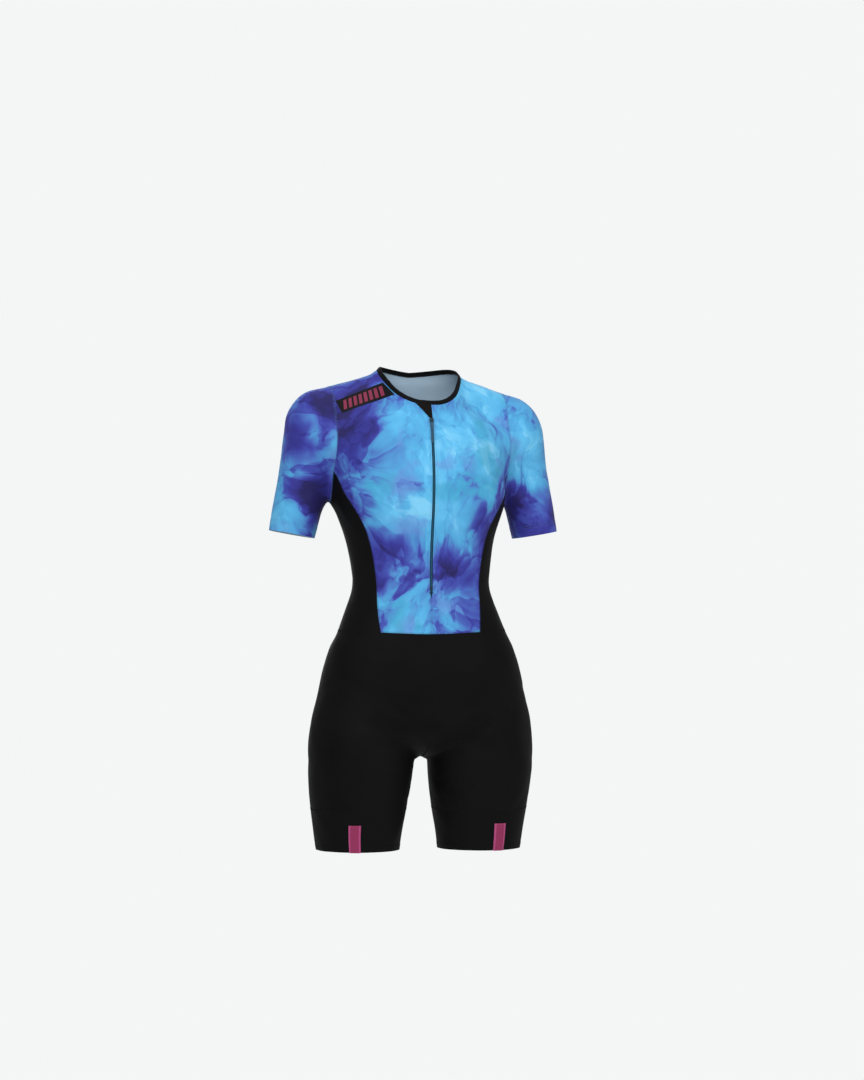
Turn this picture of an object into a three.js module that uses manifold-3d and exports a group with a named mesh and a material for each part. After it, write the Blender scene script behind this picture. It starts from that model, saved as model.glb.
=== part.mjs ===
// A short-sleeved one-piece triathlon suit in the hollow form that it has when worn.
// Millimetres, +Z up. The front faces -Y and +X is the wearer's left. The origin lies between the
// two neck points of the shoulders, where the wearer's shoulders hold the suit up.
// Each piece is a cloth wall cut along its seams from one smooth form, the shape that the cut gives
// the cloth on a general figure. The form is a soft union of a trunk, a neck, shoulders, arms and legs.

import * as THREE from "three";
import Module from "manifold-3d";
import { mergeVertices } from "three/addons/utils/BufferGeometryUtils.js";

const wasm = await Module();
wasm.setup();

// Cloth and seams. The lift of a piece is how far its outer face lies outside the form.
const CLOTH = 1.2;
const BAND_CLOTH = 1.5;
const BINDING = { thick: 2.2, lift: 0.6, width: 8, endX: 0.5 };
const SEAM_GAP = 0.3;

// Heights down the suit
const WAIST_SEAM_Z = -443;
const WAIST_SEAM_SMILE = 5;
const CROTCH_Z = -658;
const BAND_SEAM_Z = -746;
const LEG_HEM_Z = -815;

// How many wall segments each stretch of a seam has. Pieces that share a seam share its points.
const SEGMENTS = {
  neckFront: 10,
  neckBack: 10,
  shoulder: 4,
  armholeFront: 10,
  armholeUnder: 4,
  side: 13,
  sleeve: 12,
  hip: 10,
  thigh: 7,
  band: 3,
};
const ARMHOLE_POINTS = 2 * (SEGMENTS.armholeFront + SEGMENTS.armholeUnder);
const LEG_POINTS = SEGMENTS.neckFront + 2 * SEGMENTS.armholeUnder + SEGMENTS.neckBack;

// Trunk sections from the collar down: half width, reach of the front and the back from y = 0,
// the y of the widest line, and how square the section is (2 is an ellipse).
const TRUNK = [
  { z: -24, half: 56, front: -46, back: 66, mid: 12, power: 2.0 },
  { z: -60, half: 86, front: -67, back: 84, mid: 12, power: 2.1 },
  { z: -100, half: 116, front: -84, back: 95, mid: 12, power: 2.2 },
  { z: -140, half: 136, front: -96, back: 103, mid: 10, power: 2.3 },
  { z: -180, half: 146, front: -106, back: 104, mid: 7, power: 2.3 },
  { z: -225, half: 147, front: -111, back: 100, mid: 5, power: 2.3 },
  { z: -250, half: 140, front: -110, back: 94, mid: 4, power: 2.2 },
  { z: -280, half: 130, front: -106, back: 86, mid: 0, power: 2.1 },
  { z: -310, half: 123, front: -102, back: 79, mid: -6, power: 2.1 },
  { z: -342, half: 118, front: -100, back: 73, mid: -13, power: 2.1 },
  { z: -375, half: 118, front: -100, back: 70, mid: -15, power: 2.1 },
  { z: -413, half: 131, front: -102, back: 74, mid: -16, power: 2.15 },
  { z: -447, half: 144, front: -105, back: 82, mid: -17, power: 2.2 },
  { z: -474, half: 157, front: -107, back: 90, mid: -14, power: 2.2 },
  { z: -515, half: 170, front: -108, back: 103, mid: -8, power: 2.2 },
  { z: -556, half: 178, front: -107, back: 115, mid: -2, power: 2.2 },
  { z: -597, half: 187, front: -103, back: 121, mid: 0, power: 2.15 },
  { z: -640, half: 190, front: -96, back: 117, mid: 0, power: 2.1 },
  { z: -690, half: 188, front: -85, back: 106, mid: 0, power: 2.1 },
];

// Leg sections, with the x of the leg's centre in place of the middle of the trunk.
const LEG = [
  { z: -520, centre: 84, half: 70, front: -78, back: 88, mid: 0, power: 2.0 },
  { z: -600, centre: 97, half: 86, front: -91, back: 108, mid: 0, power: 2.0 },
  { z: -668, centre: 103, half: 89, front: -91, back: 105, mid: 0, power: 2.0 },
  { z: -716, centre: 104, half: 85.5, front: -84, back: 97, mid: 2, power: 2.0 },
  { z: -755, centre: 105, half: 79.5, front: -76, back: 90, mid: 4, power: 2.0 },
  { z: -790, centre: 105.5, half: 74, front: -70, back: 84, mid: 6, power: 2.0 },
  { z: -815, centre: 105, half: 70.5, front: -66, back: 80, mid: 6, power: 2.0 },
  { z: -850, centre: 104, half: 66, front: -61, back: 75, mid: 6, power: 2.0 },
];

// The round tapers join the trunk above this height, and the legs start to join it this far above
// their table.
const TAPERS_BOTTOM_Z = -330;
const LEG_BLEND = 40;

// Round tapers of the form, each from one ball to another: neck, shoulder, the cloth that spans
// from the chest and from the shoulder blade to the arm, and upper arm.
const NECK = { from: [0, 12, -70], to: [0, 4, 45], r0: 67, r1: 61, soft: 30 };
const SHOULDER = { from: [0, 20, -38], to: [166, 30, -84], r0: 48, r1: 43, soft: 42 };
const CHEST = { from: [72, -30, -128], to: [158, 16, -128], r0: 50, r1: 38, soft: 40 };
const BLADE = { from: [72, 42, -122], to: [158, 44, -122], r0: 50, r1: 36, soft: 40 };
const ARM = { from: [178, 33, -108], to: [218, 43, -310], r0: 46, r1: 38, soft: 47 };

// The underside of the trunk between the legs is an arc from front to back.
const CROTCH_MID_Y = 4;
const CROTCH_RADIUS = 120;
const CROTCH_SOFT = 22;
const LEG_SOFT = 18;

// Neckline heights round the neck, with the turn in degrees from the centre front. The radius is
// about that of the neckline at the front.
const NECK_CENTRE_Y = 8;
const NECK_RADIUS = 70;
const NECKLINE = [
  { turn: 0, z: -56 },
  { turn: 15, z: -54.5 },
  { turn: 28, z: -49 },
  { turn: 45, z: -37.5 },
  { turn: 62, z: -22 },
  { turn: 75, z: -10 },
  { turn: 90, z: -1 },
  { turn: 120, z: 3 },
  { turn: 180, z: -3 },
];
const NECK_POINT_TURN = 97;

// The armhole is a flat upright cut at this x. Sleeve rings fan out from it about a line below the
// underarm, and the last one is the hem of the sleeve.
const ARMHOLE_X = 151;
const FAN_Z = -292;
const SLEEVE_CENTRES = {
  armhole: [151, 30, -128],
  bend: [186, 31, -150],
  hem: [214, 40, -281],
};

// Turn of the seams between the side panel and its neighbours, in degrees from the centre front.
const FRONT_SIDE_SEAM = [
  { z: -215, turn: 70 },
  { z: -243, turn: 61.5 },
  { z: -262, turn: 58.5 },
  { z: -282, turn: 57 },
  { z: -310, turn: 56.5 },
  { z: -341, turn: 57 },
  { z: -375, turn: 56 },
  { z: -410, turn: 53 },
  { z: -447, turn: 49 },
];
const BACK_SIDE_SEAM = [
  { z: -215, turn: 113 },
  { z: -243, turn: 119 },
  { z: -282, turn: 123 },
  { z: -341, turn: 124 },
  { z: -375, turn: 125 },
  { z: -410, turn: 127 },
  { z: -447, turn: 131 },
];

// Rows of the panels: the heights of the front's rows at the end of the shoulder seam and of the
// armhole, and how far the rows crowd towards the top of the side seams and of the inseam.
const SHOULDER_ROW_Z = -98;
const ARMHOLE_ROW_Z = -200;
const SIDE_ROW_POWER = 1.3;
const INSEAM_ROW_POWER = 1.15;

// Lines down a leg panel. The centre seams run level rays to a hub over the crotch, and then rays
// that fan out under it. The other lines cross the crotch's row at these heights, and lie on the
// leg from a little above the crotch.
const RISE = { hubUp: 62, levelShare: 0.62 };
const LEG_LINES = { frontZ: -640, sideZ: -640, backZ: -646, onLegAbove: 60, inseamDrop: 5 };

// Zip. Depths are out from the form along the zip's normal. The fronts close up below the tapes,
// and the tapes part above the slider.
const ZIP_EDGE_X = 2.6;
const ZIP = {
  sliderZ: -90,
  stopZ: -370,
  tapeEndZ: -379,
  closing: { below: 12, above: 2 },
  parting: { below: 8, above: 1, closed: 0.15, open: 1.7 },
  tape: { half: 11, out: -1.6, inner: -2.5, topGap: 0.8 },
  chain: { half: 2.3, out: 0.5, inner: -1.25, aboveSlider: 2.2 },
  stop: { half: 1.9, out: 0.9, inner: -1.25, gap: 0.3, length: 2.7 },
};

// Slider in its own frame: x across, y up the zip, z out from the cloth. The bail is an arch with an
// eye through it, and the plates are narrower at their ends by these shares.
const SLIDER = {
  half: 3.7,
  length: 9,
  footShare: 0.72,
  headShare: 0.5,
  shoulder: 1,
  plateOut: 2.0,
  plateIn: 0.8,
  backOut: -2.8,
  backIn: -3.8,
  post: { half: 1.2, low: 2.7, high: 4.2 },
  bail: { half: 0.8, low: -2.6, high: 1.8, out: 4.9 },
  eye: { low: -1.4, high: 0.6, up: 0.25, out: 4.05 },
  sink: 0.2,
};

// Pull tab: its plate, the window at its top, and the bar across the window, which is its pivot.
// Its end rests this far out from the form.
const PULL = {
  length: 40,
  width: 5,
  thick: 1.4,
  corner: 0.6,
  shoulder: 0.8,
  tip: 2,
  restShare: 0.96,
  restOut: 1.9,
};
const PIVOT = { up: -0.55, out: 3.2, radius: 0.55 };
const WINDOW = { below: 3.4, half: 1.2, above: 0.75 };

// Guard over the top of the zip. Its long edge runs from left at the binding to tipLeft at the tip.
const GUARD = { left: -25, right: 2.2, tipZ: -82, tipLeft: -3.2, bow: 0.8, belowSeam: 0.7 };

// Hem tab on each leg band, as its turn about the leg and its reach above and below the hem.
const HEM_TAB = { turn: 14.5, width: 19, above: 46, below: 0.4, legRadius: 72, thick: 1, lift: 1.4 };

// Pose: the shoulders turn and drop a little towards the wearer's left, and the hips lie over to
// that side. The turn and the drop are slopes.
const POSE = { topZ: -60, bottomZ: TAPERS_BOTTOM_Z, turn: 0.05, turnY: 10, drop: 0.029 };
const HIP_POSE = { z: -590, reach: 200, shift: 3.5 };

// Largest soft creases, each a trough along a line on the cloth, on both sides of the suit.
const CREASES = [
  { name: "front underarm", from: [150, -30, -196], to: [104, -98, -176], width: 13, depth: 2.0 },
  { name: "front underarm low", from: [148, -18, -222], to: [112, -86, -238], width: 12, depth: 1.5 },
  { name: "back underarm", from: [150, 70, -190], to: [98, 100, -160], width: 14, depth: 2.2 },
  { name: "sleeve bend", from: [168, -8, -214], to: [226, 18, -176], width: 12, depth: 1.8 },
  { name: "sleeve back", from: [166, 80, -210], to: [222, 82, -170], width: 13, depth: 1.8 },
  { name: "waist side", from: [117, -10, -352], to: [78, 62, -366], width: 12, depth: 1.6 },
  { name: "hip front", from: [22, -78, -640], to: [128, -96, -588], width: 15, depth: 2.4 },
  { name: "seat", from: [20, 96, -655], to: [132, 98, -668], width: 15, depth: 2.6 },
  { name: "inner thigh", from: [16, -10, -690], to: [70, -84, -664], width: 12, depth: 1.6 },
];

const vec = (a) => new THREE.Vector3(a[0], a[1], a[2]);
const radians = THREE.MathUtils.degToRad;
const lerp = THREE.MathUtils.lerp;

// Reads a table at a place along its key column, as a smooth cubic through the rows.
function tableAt(table, key, at) {
  const sign = Math.sign(table[1][key] - table[0][key]);
  let i = 0;
  while (i < table.length - 2 && sign * (at - table[i + 1][key]) > 0) i += 1;
  const [a, b] = [table[i], table[i + 1]];
  const before = table[i - 1] ?? a;
  const after = table[i + 2] ?? b;
  const span = b[key] - a[key];
  const t = THREE.MathUtils.clamp((at - a[key]) / span, 0, 1);
  const row = {};
  for (const column in a) {
    if (column === key) continue;
    const slopeA = ((b[column] - before[column]) / (b[key] - before[key])) * span;
    const slopeB = ((after[column] - a[column]) / (after[key] - a[key])) * span;
    row[column] =
      a[column] * (2 * t ** 3 - 3 * t ** 2 + 1) +
      slopeA * (t ** 3 - 2 * t ** 2 + t) +
      b[column] * (3 * t ** 2 - 2 * t ** 3) +
      slopeB * (t ** 3 - t ** 2);
  }
  return row;
}

// Smallest of two distances, rounded over where they are within soft of each other.
function softMin(a, b, soft) {
  const h = Math.max(soft - Math.abs(a - b), 0) / soft;
  return Math.min(a, b) - (h ** 3 * soft) / 6;
}

// Distance out from a section's outline, negative inside.
function sectionGap(dx, y, row) {
  const dy = y - row.mid;
  const reach = dy < 0 ? row.mid - row.front : row.back - row.mid;
  const r = Math.hypot(dx, dy);
  if (r < 1e-6) return -Math.min(row.half, reach);
  const share = (Math.abs(dx) / row.half) ** row.power + (Math.abs(dy) / reach) ** row.power;
  return r - r / share ** (1 / row.power);
}

// Distance out from a round taper, negative inside.
function taperGap(x, y, z, taper) {
  const [ax, ay, az] = taper.from;
  const [bx, by, bz] = [taper.to[0] - ax, taper.to[1] - ay, taper.to[2] - az];
  const [px, py, pz] = [x - ax, y - ay, z - az];
  const t = THREE.MathUtils.clamp((px * bx + py * by + pz * bz) / (bx * bx + by * by + bz * bz), 0, 1);
  return Math.hypot(px - t * bx, py - t * by, pz - t * bz) - lerp(taper.r0, taper.r1, t);
}

// The form: negative inside the filled-out suit, zero on the cloth's outer face.
function form(x, y, z) {
  const side = Math.abs(x);
  const crotch = CROTCH_Z + (y - CROTCH_MID_Y) ** 2 / (2 * CROTCH_RADIUS) - z;
  const section = sectionGap(side, y, tableAt(TRUNK, "z", z));
  const collarTop = z - TRUNK[0].z;
  let gap = -softMin(-Math.max(section, collarTop), -crotch, CROTCH_SOFT);
  if (z > TAPERS_BOTTOM_Z) {
    gap = softMin(gap, taperGap(side, y, z, SHOULDER), SHOULDER.soft);
    for (const taper of [CHEST, BLADE, NECK, ARM]) {
      gap = softMin(gap, taperGap(side, y, z, taper), taper.soft);
    }
  }
  if (z < LEG[0].z + LEG_BLEND) {
    const row = tableAt(LEG, "z", z);
    const legTop = z - LEG[0].z;
    gap = softMin(gap, Math.max(sectionGap(side - row.centre, y, row), legTop), LEG_SOFT);
  }
  return gap;
}

const formAt = (p) => form(p.x, p.y, p.z);

function gradient(p, e = 0.05) {
  return new THREE.Vector3(
    form(p.x + e, p.y, p.z) - form(p.x - e, p.y, p.z),
    form(p.x, p.y + e, p.z) - form(p.x, p.y - e, p.z),
    form(p.x, p.y, p.z + e) - form(p.x, p.y, p.z - e),
  ).divideScalar(2 * e);
}

// The normal is taken over a short reach, so that it turns gently in the underarm.
const NORMAL_REACH = 5;
const normalAt = (p) => gradient(p, NORMAL_REACH).normalize();

// First place where a ray from inside the form comes out of it.
const RAY_STEP = 4;
const RAY_REACH = 500;
function alongRay(from, direction) {
  const d = direction.clone().normalize();
  let near = 0;
  while (near < RAY_REACH && formAt(from.clone().addScaledVector(d, near + RAY_STEP)) < 0) near += RAY_STEP;
  let far = near + RAY_STEP;
  for (let i = 0; i < 26; i += 1) {
    const middle = (near + far) / 2;
    if (formAt(from.clone().addScaledVector(d, middle)) < 0) near = middle;
    else far = middle;
  }
  return from.clone().addScaledVector(d, (near + far) / 2);
}

// Moves a point that is near the form onto it.
function settle(point) {
  const p = point.clone();
  for (let i = 0; i < 10; i += 1) {
    const g = gradient(p);
    const stride = THREE.MathUtils.clamp(formAt(p) / Math.max(g.lengthSq(), 0.05), -25, 25);
    p.addScaledVector(g, -stride);
  }
  return p;
}

// How far a crease moves the cloth at a point: a trough with a low ridge on each side.
function creaseDepth(p) {
  let sum = 0;
  const q = new THREE.Vector3(Math.abs(p.x), p.y, p.z);
  for (const crease of CREASES) {
    const a = vec(crease.from);
    const along = vec(crease.to).sub(a);
    const t = THREE.MathUtils.clamp(q.clone().sub(a).dot(along) / along.lengthSq(), 0, 1);
    const away = q.distanceTo(a.addScaledVector(along, t)) / crease.width;
    sum -= crease.depth * Math.sin(Math.PI * t) * (1 - 0.7 * away ** 2) * Math.exp(-(away ** 2));
  }
  return sum;
}

// Puts a point of the even form where the pose has it.
function posed(p) {
  const share = THREE.MathUtils.smoothstep(p.z, POSE.bottomZ, POSE.topZ);
  const hips = Math.max(1 - ((p.z - HIP_POSE.z) / HIP_POSE.reach) ** 2, 0) ** 2;
  return new THREE.Vector3(
    p.x - POSE.turn * share * (p.y - POSE.turnY) + HIP_POSE.shift * hips,
    p.y + POSE.turn * share * p.x,
    p.z - POSE.drop * share * p.x,
  );
}

const mirrored = (p) => new THREE.Vector3(-p.x, p.y, p.z);
const turnDirection = (turn) => new THREE.Vector3(Math.sin(radians(turn)), -Math.cos(radians(turn)), 0);
const insideTrunk = (x, z) => new THREE.Vector3(x, tableAt(TRUNK, "z", z).mid, z);
const trunkPoint = (z, turn) => alongRay(insideTrunk(0, z), turnDirection(turn));
const frontPoint = (x, z) => alongRay(insideTrunk(x, z), turnDirection(0));
const backPoint = (z) => alongRay(insideTrunk(0, z), turnDirection(180));
const range = (count, make) => Array.from({ length: count + 1 }, (_, i) => make(i / count, i));

function turnOf(p) {
  return THREE.MathUtils.radToDeg(Math.atan2(p.x, tableAt(TRUNK, "z", p.z).mid - p.y));
}

// How far along two opposite edges each pair of their points lies, from 0 to 1.
function shares(edgeA, edgeB) {
  const lengthsTo = (edge) => {
    let sum = 0;
    return edge.map((p, i) => (i === 0 ? 0 : (sum += p.distanceTo(edge[i - 1]))));
  };
  const [a, b] = [lengthsTo(edgeA), lengthsTo(edgeB)];
  return a.map((length, i) => (length + b[i]) / (a.at(-1) + b.at(-1)));
}

// Surface between four edges: each inner point starts from the edges and settles on the form.
function patch(left, right, top, bottom) {
  const rows = left.length - 1;
  const columns = top.length - 1;
  const downs = shares(left, right);
  const acrosses = shares(top, bottom);
  return range(rows, (_, i) =>
    range(columns, (_, j) => {
      if (i === 0) return top[j].clone();
      if (i === rows) return bottom[j].clone();
      if (j === 0) return left[i].clone();
      if (j === columns) return right[i].clone();
      const [u, v] = [acrosses[j], downs[i]];
      const across = left[i].clone().lerp(right[i], u);
      const down = top[j].clone().lerp(bottom[j], v);
      const lowCorners = bottom[0].clone().lerp(bottom[columns], u);
      const corners = top[0].clone().lerp(top[columns], u).lerp(lowCorners, v);
      return settle(across.add(down).sub(corners));
    }),
  );
}

// Joins grids side by side that share an edge column.
const besides = (...grids) =>
  grids.reduce((a, b) => a.map((row, i) => [...row, ...b[i].slice(1)]));

// Draws a grid's borders in by half the seam gap, so that neighbours lie a gap apart.
function drawnIn(grid, closed) {
  const half = SEAM_GAP / 2;
  const toward = (p, q) => p.clone().addScaledVector(q.clone().sub(p).normalize(), half);
  const last = grid.length - 1;
  const rows = grid.map((row, i) => {
    if (i > 0 && i < last) return row;
    const next = grid[i === 0 ? 1 : last - 1];
    return row.map((p, j) => toward(p, next[j]));
  });
  if (closed) return rows;
  return rows.map((row) => {
    const end = row.length - 1;
    return row.map((p, j) => (j === 0 ? toward(p, row[1]) : j === end ? toward(p, row[end - 1]) : p));
  });
}

// Closed wall from a grid of points on the form. Its outer face lies lift outside the form, and it
// is thick towards the inside. A closed grid joins its last column to its first.
function wallGeometry(grid, thick, lift = 0, closed = false) {
  const rows = grid.length;
  const columns = grid[0].length;
  const outer = grid.map((row) =>
    row.map((p) => posed(p.clone().addScaledVector(normalAt(p), lift + creaseDepth(p)))),
  );
  const inner = grid.map((row) =>
    row.map((p) => posed(p.clone().addScaledVector(normalAt(p), lift - thick + creaseDepth(p)))),
  );
  const points = [...outer.flat(), ...inner.flat()];
  const layer = rows * columns;
  const at = (side, i, j) => side * layer + i * columns + (j % columns);
  const faces = [];
  const across = closed ? columns : columns - 1;
  for (let i = 0; i < rows - 1; i += 1) {
    for (let j = 0; j < across; j += 1) {
      const corners = [at(0, i, j), at(0, i + 1, j), at(0, i + 1, j + 1), at(0, i, j + 1)];
      const split = shortSplit(points, corners);
      faces.push(...split, ...split.map((k) => k + layer).reverse());
    }
  }
  const quad = (...corners) => faces.push(...shortSplit(points, corners));
  for (let j = 0; j < across; j += 1) {
    quad(at(0, 0, j), at(0, 0, j + 1), at(1, 0, j + 1), at(1, 0, j));
    quad(at(0, rows - 1, j), at(1, rows - 1, j), at(1, rows - 1, j + 1), at(0, rows - 1, j + 1));
  }
  for (let i = 0; !closed && i < rows - 1; i += 1) {
    quad(at(0, i, 0), at(1, i, 0), at(1, i + 1, 0), at(0, i + 1, 0));
    const j = columns - 1;
    quad(at(0, i, j), at(0, i + 1, j), at(1, i + 1, j), at(1, i, j));
  }
  return facingOut(points, faces);
}

// The two triangles of a four-sided face, split along its shorter diagonal.
function shortSplit(points, [a, b, c, d]) {
  const short = points[a].distanceToSquared(points[c]) <= points[b].distanceToSquared(points[d]);
  return short ? [a, b, c, a, c, d] : [a, b, d, b, c, d];
}

// Indexed geometry whose faces point out, whichever way round its grid ran.
function facingOut(points, faces) {
  let volume = 0;
  for (let i = 0; i < faces.length; i += 3) {
    const [a, b, c] = [points[faces[i]], points[faces[i + 1]], points[faces[i + 2]]];
    volume += a.dot(b.clone().cross(c));
  }
  if (volume < 0) faces.reverse();
  const geometry = new THREE.BufferGeometry().setFromPoints(points);
  geometry.setIndex(faces);
  geometry.computeVertexNormals();
  return geometry;
}

// Booleans
function solidOf(geometry) {
  const bare = geometry.index ? geometry.toNonIndexed() : geometry.clone();
  bare.deleteAttribute("normal");
  bare.deleteAttribute("uv");
  const merged = mergeVertices(bare, 1e-4);
  return new wasm.Manifold(
    new wasm.Mesh({
      numProp: 3,
      vertProperties: merged.attributes.position.array,
      triVerts: new Uint32Array(merged.index.array),
    }),
  );
}

function geometryOf(solid) {
  const mesh = solid.getMesh();
  const geometry = new THREE.BufferGeometry();
  geometry.setAttribute("position", new THREE.BufferAttribute(Float32Array.from(mesh.vertProperties), 3));
  geometry.setIndex(new THREE.BufferAttribute(Uint32Array.from(mesh.triVerts), 1));
  geometry.computeVertexNormals();
  return geometry;
}

// Seams of the wearer's left half. The right half is their mirror image.
function neckEdges() {
  const startTurn = THREE.MathUtils.radToDeg(Math.asin(ZIP_EDGE_X / NECK_RADIUS));
  const turns = [
    ...range(SEGMENTS.neckFront, (t) => lerp(startTurn, NECK_POINT_TURN, t)),
    ...range(SEGMENTS.neckBack, (t) => lerp(NECK_POINT_TURN, 180, t)).slice(1),
  ];
  const topAt = (turn) => {
    const z = tableAt(NECKLINE, "turn", turn).z;
    return alongRay(new THREE.Vector3(0, NECK_CENTRE_Y, z), turnDirection(turn));
  };
  const top = turns.map(topAt);
  const seam = turns.map((turn, i) => {
    const along = topAt(Math.min(turn + 1, 180)).sub(topAt(turn - 1)).normalize();
    const down = normalAt(top[i]).cross(along).normalize();
    if (i === turns.length - 1) down.x = 0;
    if (down.z > 0) down.negate();
    return settle(top[i].clone().addScaledVector(down, BINDING.width));
  });
  seam[0] = frontPoint(ZIP_EDGE_X, seam[0].z);
  return { top, seam };
}

// Points round one ring of the sleeve, from the underarm past the front and over the top.
// share runs from 0 at the armhole to 1 at the hem.
function sleeveRing(share) {
  const path = new THREE.QuadraticBezierCurve3(
    vec(SLEEVE_CENTRES.armhole),
    vec(SLEEVE_CENTRES.bend),
    vec(SLEEVE_CENTRES.hem),
  );
  const centre = path.getPoint(share);
  const tilt = Math.atan2(centre.z - FAN_Z, centre.x - ARMHOLE_X);
  const outward = new THREE.Vector3(Math.cos(tilt), 0, Math.sin(tilt));
  const pointAt = (turn) => {
    const direction = outward
      .clone()
      .multiplyScalar(-Math.cos(turn))
      .add(new THREE.Vector3(0, -Math.sin(turn), 0));
    return alongRay(centre, direction);
  };
  const dense = range(4 * ARMHOLE_POINTS, (t) => pointAt(2 * Math.PI * t));
  const along = shares(dense, dense);
  return range(ARMHOLE_POINTS, (t) => {
    const k = Math.max(along.findIndex((share) => share >= t), 1);
    const part = (t - along[k - 1]) / (along[k] - along[k - 1]);
    return pointAt((2 * Math.PI * (k - 1 + part)) / (4 * ARMHOLE_POINTS));
  });
}

function sideSeam(start, table) {
  const rows = [{ z: start.z, turn: turnOf(start) }, ...table];
  return range(SEGMENTS.side, (t) => {
    const z = lerp(start.z, WAIST_SEAM_Z, t ** SIDE_ROW_POWER);
    return t === 0 ? start.clone() : trunkPoint(z, tableAt(rows, "z", z).turn);
  });
}

// The waist seam dips a little at the centre front.
function waistPoint(turn) {
  const dip = WAIST_SEAM_SMILE * Math.max(Math.cos(radians(turn)), 0) ** 2;
  return trunkPoint(WAIST_SEAM_Z - dip, turn);
}

const neck = neckEdges();
const neckPoint = neck.seam[SEGMENTS.neckFront];
const armhole = sleeveRing(0);
const armholeTop = armhole[ARMHOLE_POINTS / 2];
const shoulderSeam = range(SEGMENTS.shoulder, (t) =>
  t === 0 ? neckPoint.clone() : t === 1 ? armholeTop.clone() : settle(neckPoint.clone().lerp(armholeTop, t)),
);
const armholeFront = armhole.slice(SEGMENTS.armholeUnder, ARMHOLE_POINTS / 2 + 1).reverse();
const armholeBack = armhole.slice(ARMHOLE_POINTS / 2, ARMHOLE_POINTS - SEGMENTS.armholeUnder + 1);
const armholeUnder = [
  ...armhole.slice(0, SEGMENTS.armholeUnder + 1).reverse(),
  ...armhole.slice(ARMHOLE_POINTS - SEGMENTS.armholeUnder, ARMHOLE_POINTS).reverse(),
];
const frontSideSeam = sideSeam(armholeFront.at(-1), FRONT_SIDE_SEAM);
const backSideSeam = sideSeam(armholeBack.at(-1), BACK_SIDE_SEAM);
const frontTurn = FRONT_SIDE_SEAM.at(-1).turn;
const backTurn = BACK_SIDE_SEAM.at(-1).turn;
const waistFront = range(SEGMENTS.neckFront, (t) => waistPoint(frontTurn * t));
const waistSide = range(2 * SEGMENTS.armholeUnder, (t) => waistPoint(lerp(frontTurn, backTurn, t)));
const waistBack = range(SEGMENTS.neckBack, (t) => waistPoint(lerp(backTurn, 180, t)));
frontSideSeam[SEGMENTS.side] = waistFront.at(-1).clone();
backSideSeam[SEGMENTS.side] = waistBack[0].clone();
const frontEdge = [...shoulderSeam, ...armholeFront.slice(1), ...frontSideSeam.slice(1)];
const backEdge = [...shoulderSeam, ...armholeBack.slice(1), ...backSideSeam.slice(1)];
const TRUNK_ROWS = frontEdge.length - 1;

// The zip edge of a front panel runs level with the rows of its outer edge. It closes up to the
// centre seam below the zip.
const ROW_LEVELS = [
  { row: 0, z: neck.seam[0].z },
  { row: SEGMENTS.shoulder, z: SHOULDER_ROW_Z },
  { row: SEGMENTS.shoulder + SEGMENTS.armholeFront, z: ARMHOLE_ROW_Z },
  { row: TRUNK_ROWS, z: WAIST_SEAM_Z - WAIST_SEAM_SMILE },
];
function rowLevel(levels, i) {
  const k = Math.max(levels.findIndex((level) => level.row >= i), 1);
  const [a, b] = [levels[k - 1], levels[k]];
  return lerp(a.z, b.z, (i - a.row) / (b.row - a.row));
}
const closing = (z) =>
  THREE.MathUtils.smoothstep(z, ZIP.tapeEndZ - ZIP.closing.below, ZIP.tapeEndZ + ZIP.closing.above);
const zipEdge = range(TRUNK_ROWS, (t, i) => {
  const z = rowLevel(ROW_LEVELS, i);
  return frontPoint(ZIP_EDGE_X * closing(z), z);
});
waistFront[0] = zipEdge.at(-1).clone();
const BACK_ROW_LEVELS = [
  { row: 0, z: neck.seam.at(-1).z },
  ...ROW_LEVELS.slice(1, 3),
  { row: TRUNK_ROWS, z: WAIST_SEAM_Z },
];
const centreBack = range(TRUNK_ROWS, (t, i) =>
  i === 0 ? neck.seam.at(-1).clone() : backPoint(rowLevel(BACK_ROW_LEVELS, i)),
);

const neckFrontSeam = neck.seam.slice(0, SEGMENTS.neckFront + 1);
const neckBackSeam = neck.seam.slice(SEGMENTS.neckFront);
const frontGrid = patch(zipEdge, frontEdge, neckFrontSeam, waistFront);
const sideGrid = patch(frontSideSeam, backSideSeam, armholeUnder, waistSide);
const backHalfGrid = patch(backEdge, centreBack, neckBackSeam, waistBack);
const backGrid = besides(
  backHalfGrid,
  backHalfGrid.map((row) => [...row].reverse().map(mirrored)),
);
const sleeveGrid = range(SEGMENTS.sleeve, (t) => sleeveRing(t));

// Shorts: a leg panel wraps from the centre front round the outside to the centre back, and closes
// on itself at the inseam below the crotch.
function riseCurve(ending) {
  const hub = new THREE.Vector3(0, CROTCH_MID_Y, CROTCH_Z + RISE.hubUp);
  const start = ending === "front" ? waistFront[0] : waistBack.at(-1);
  const { levelShare } = RISE;
  return range(SEGMENTS.hip, (t) => {
    if (t === 0) return start.clone();
    const turn = ending === "front" ? 0 : 180;
    if (t < levelShare) return trunkPoint(lerp(start.z, hub.z, t / levelShare), turn);
    const down = (Math.PI / 2) * ((t - levelShare) / (1 - levelShare));
    const direction = turnDirection(turn).multiplyScalar(Math.cos(down));
    direction.z = -Math.sin(down);
    return alongRay(hub, direction);
  });
}

function legRay(z, degrees) {
  const row = tableAt(LEG, "z", z);
  return alongRay(new THREE.Vector3(row.centre, row.mid, z), turnDirection(degrees));
}

// Heights of a leg panel's rows along one of its lines, straight from waist to crotch and on to the band.
function legLevels(startZ, crotchZ) {
  const hip = range(SEGMENTS.hip, (t) => lerp(startZ, crotchZ, t));
  const thigh = range(SEGMENTS.thigh, (t) => lerp(crotchZ, BAND_SEAM_Z, t));
  return [...hip, ...thigh.slice(1)];
}

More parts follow.
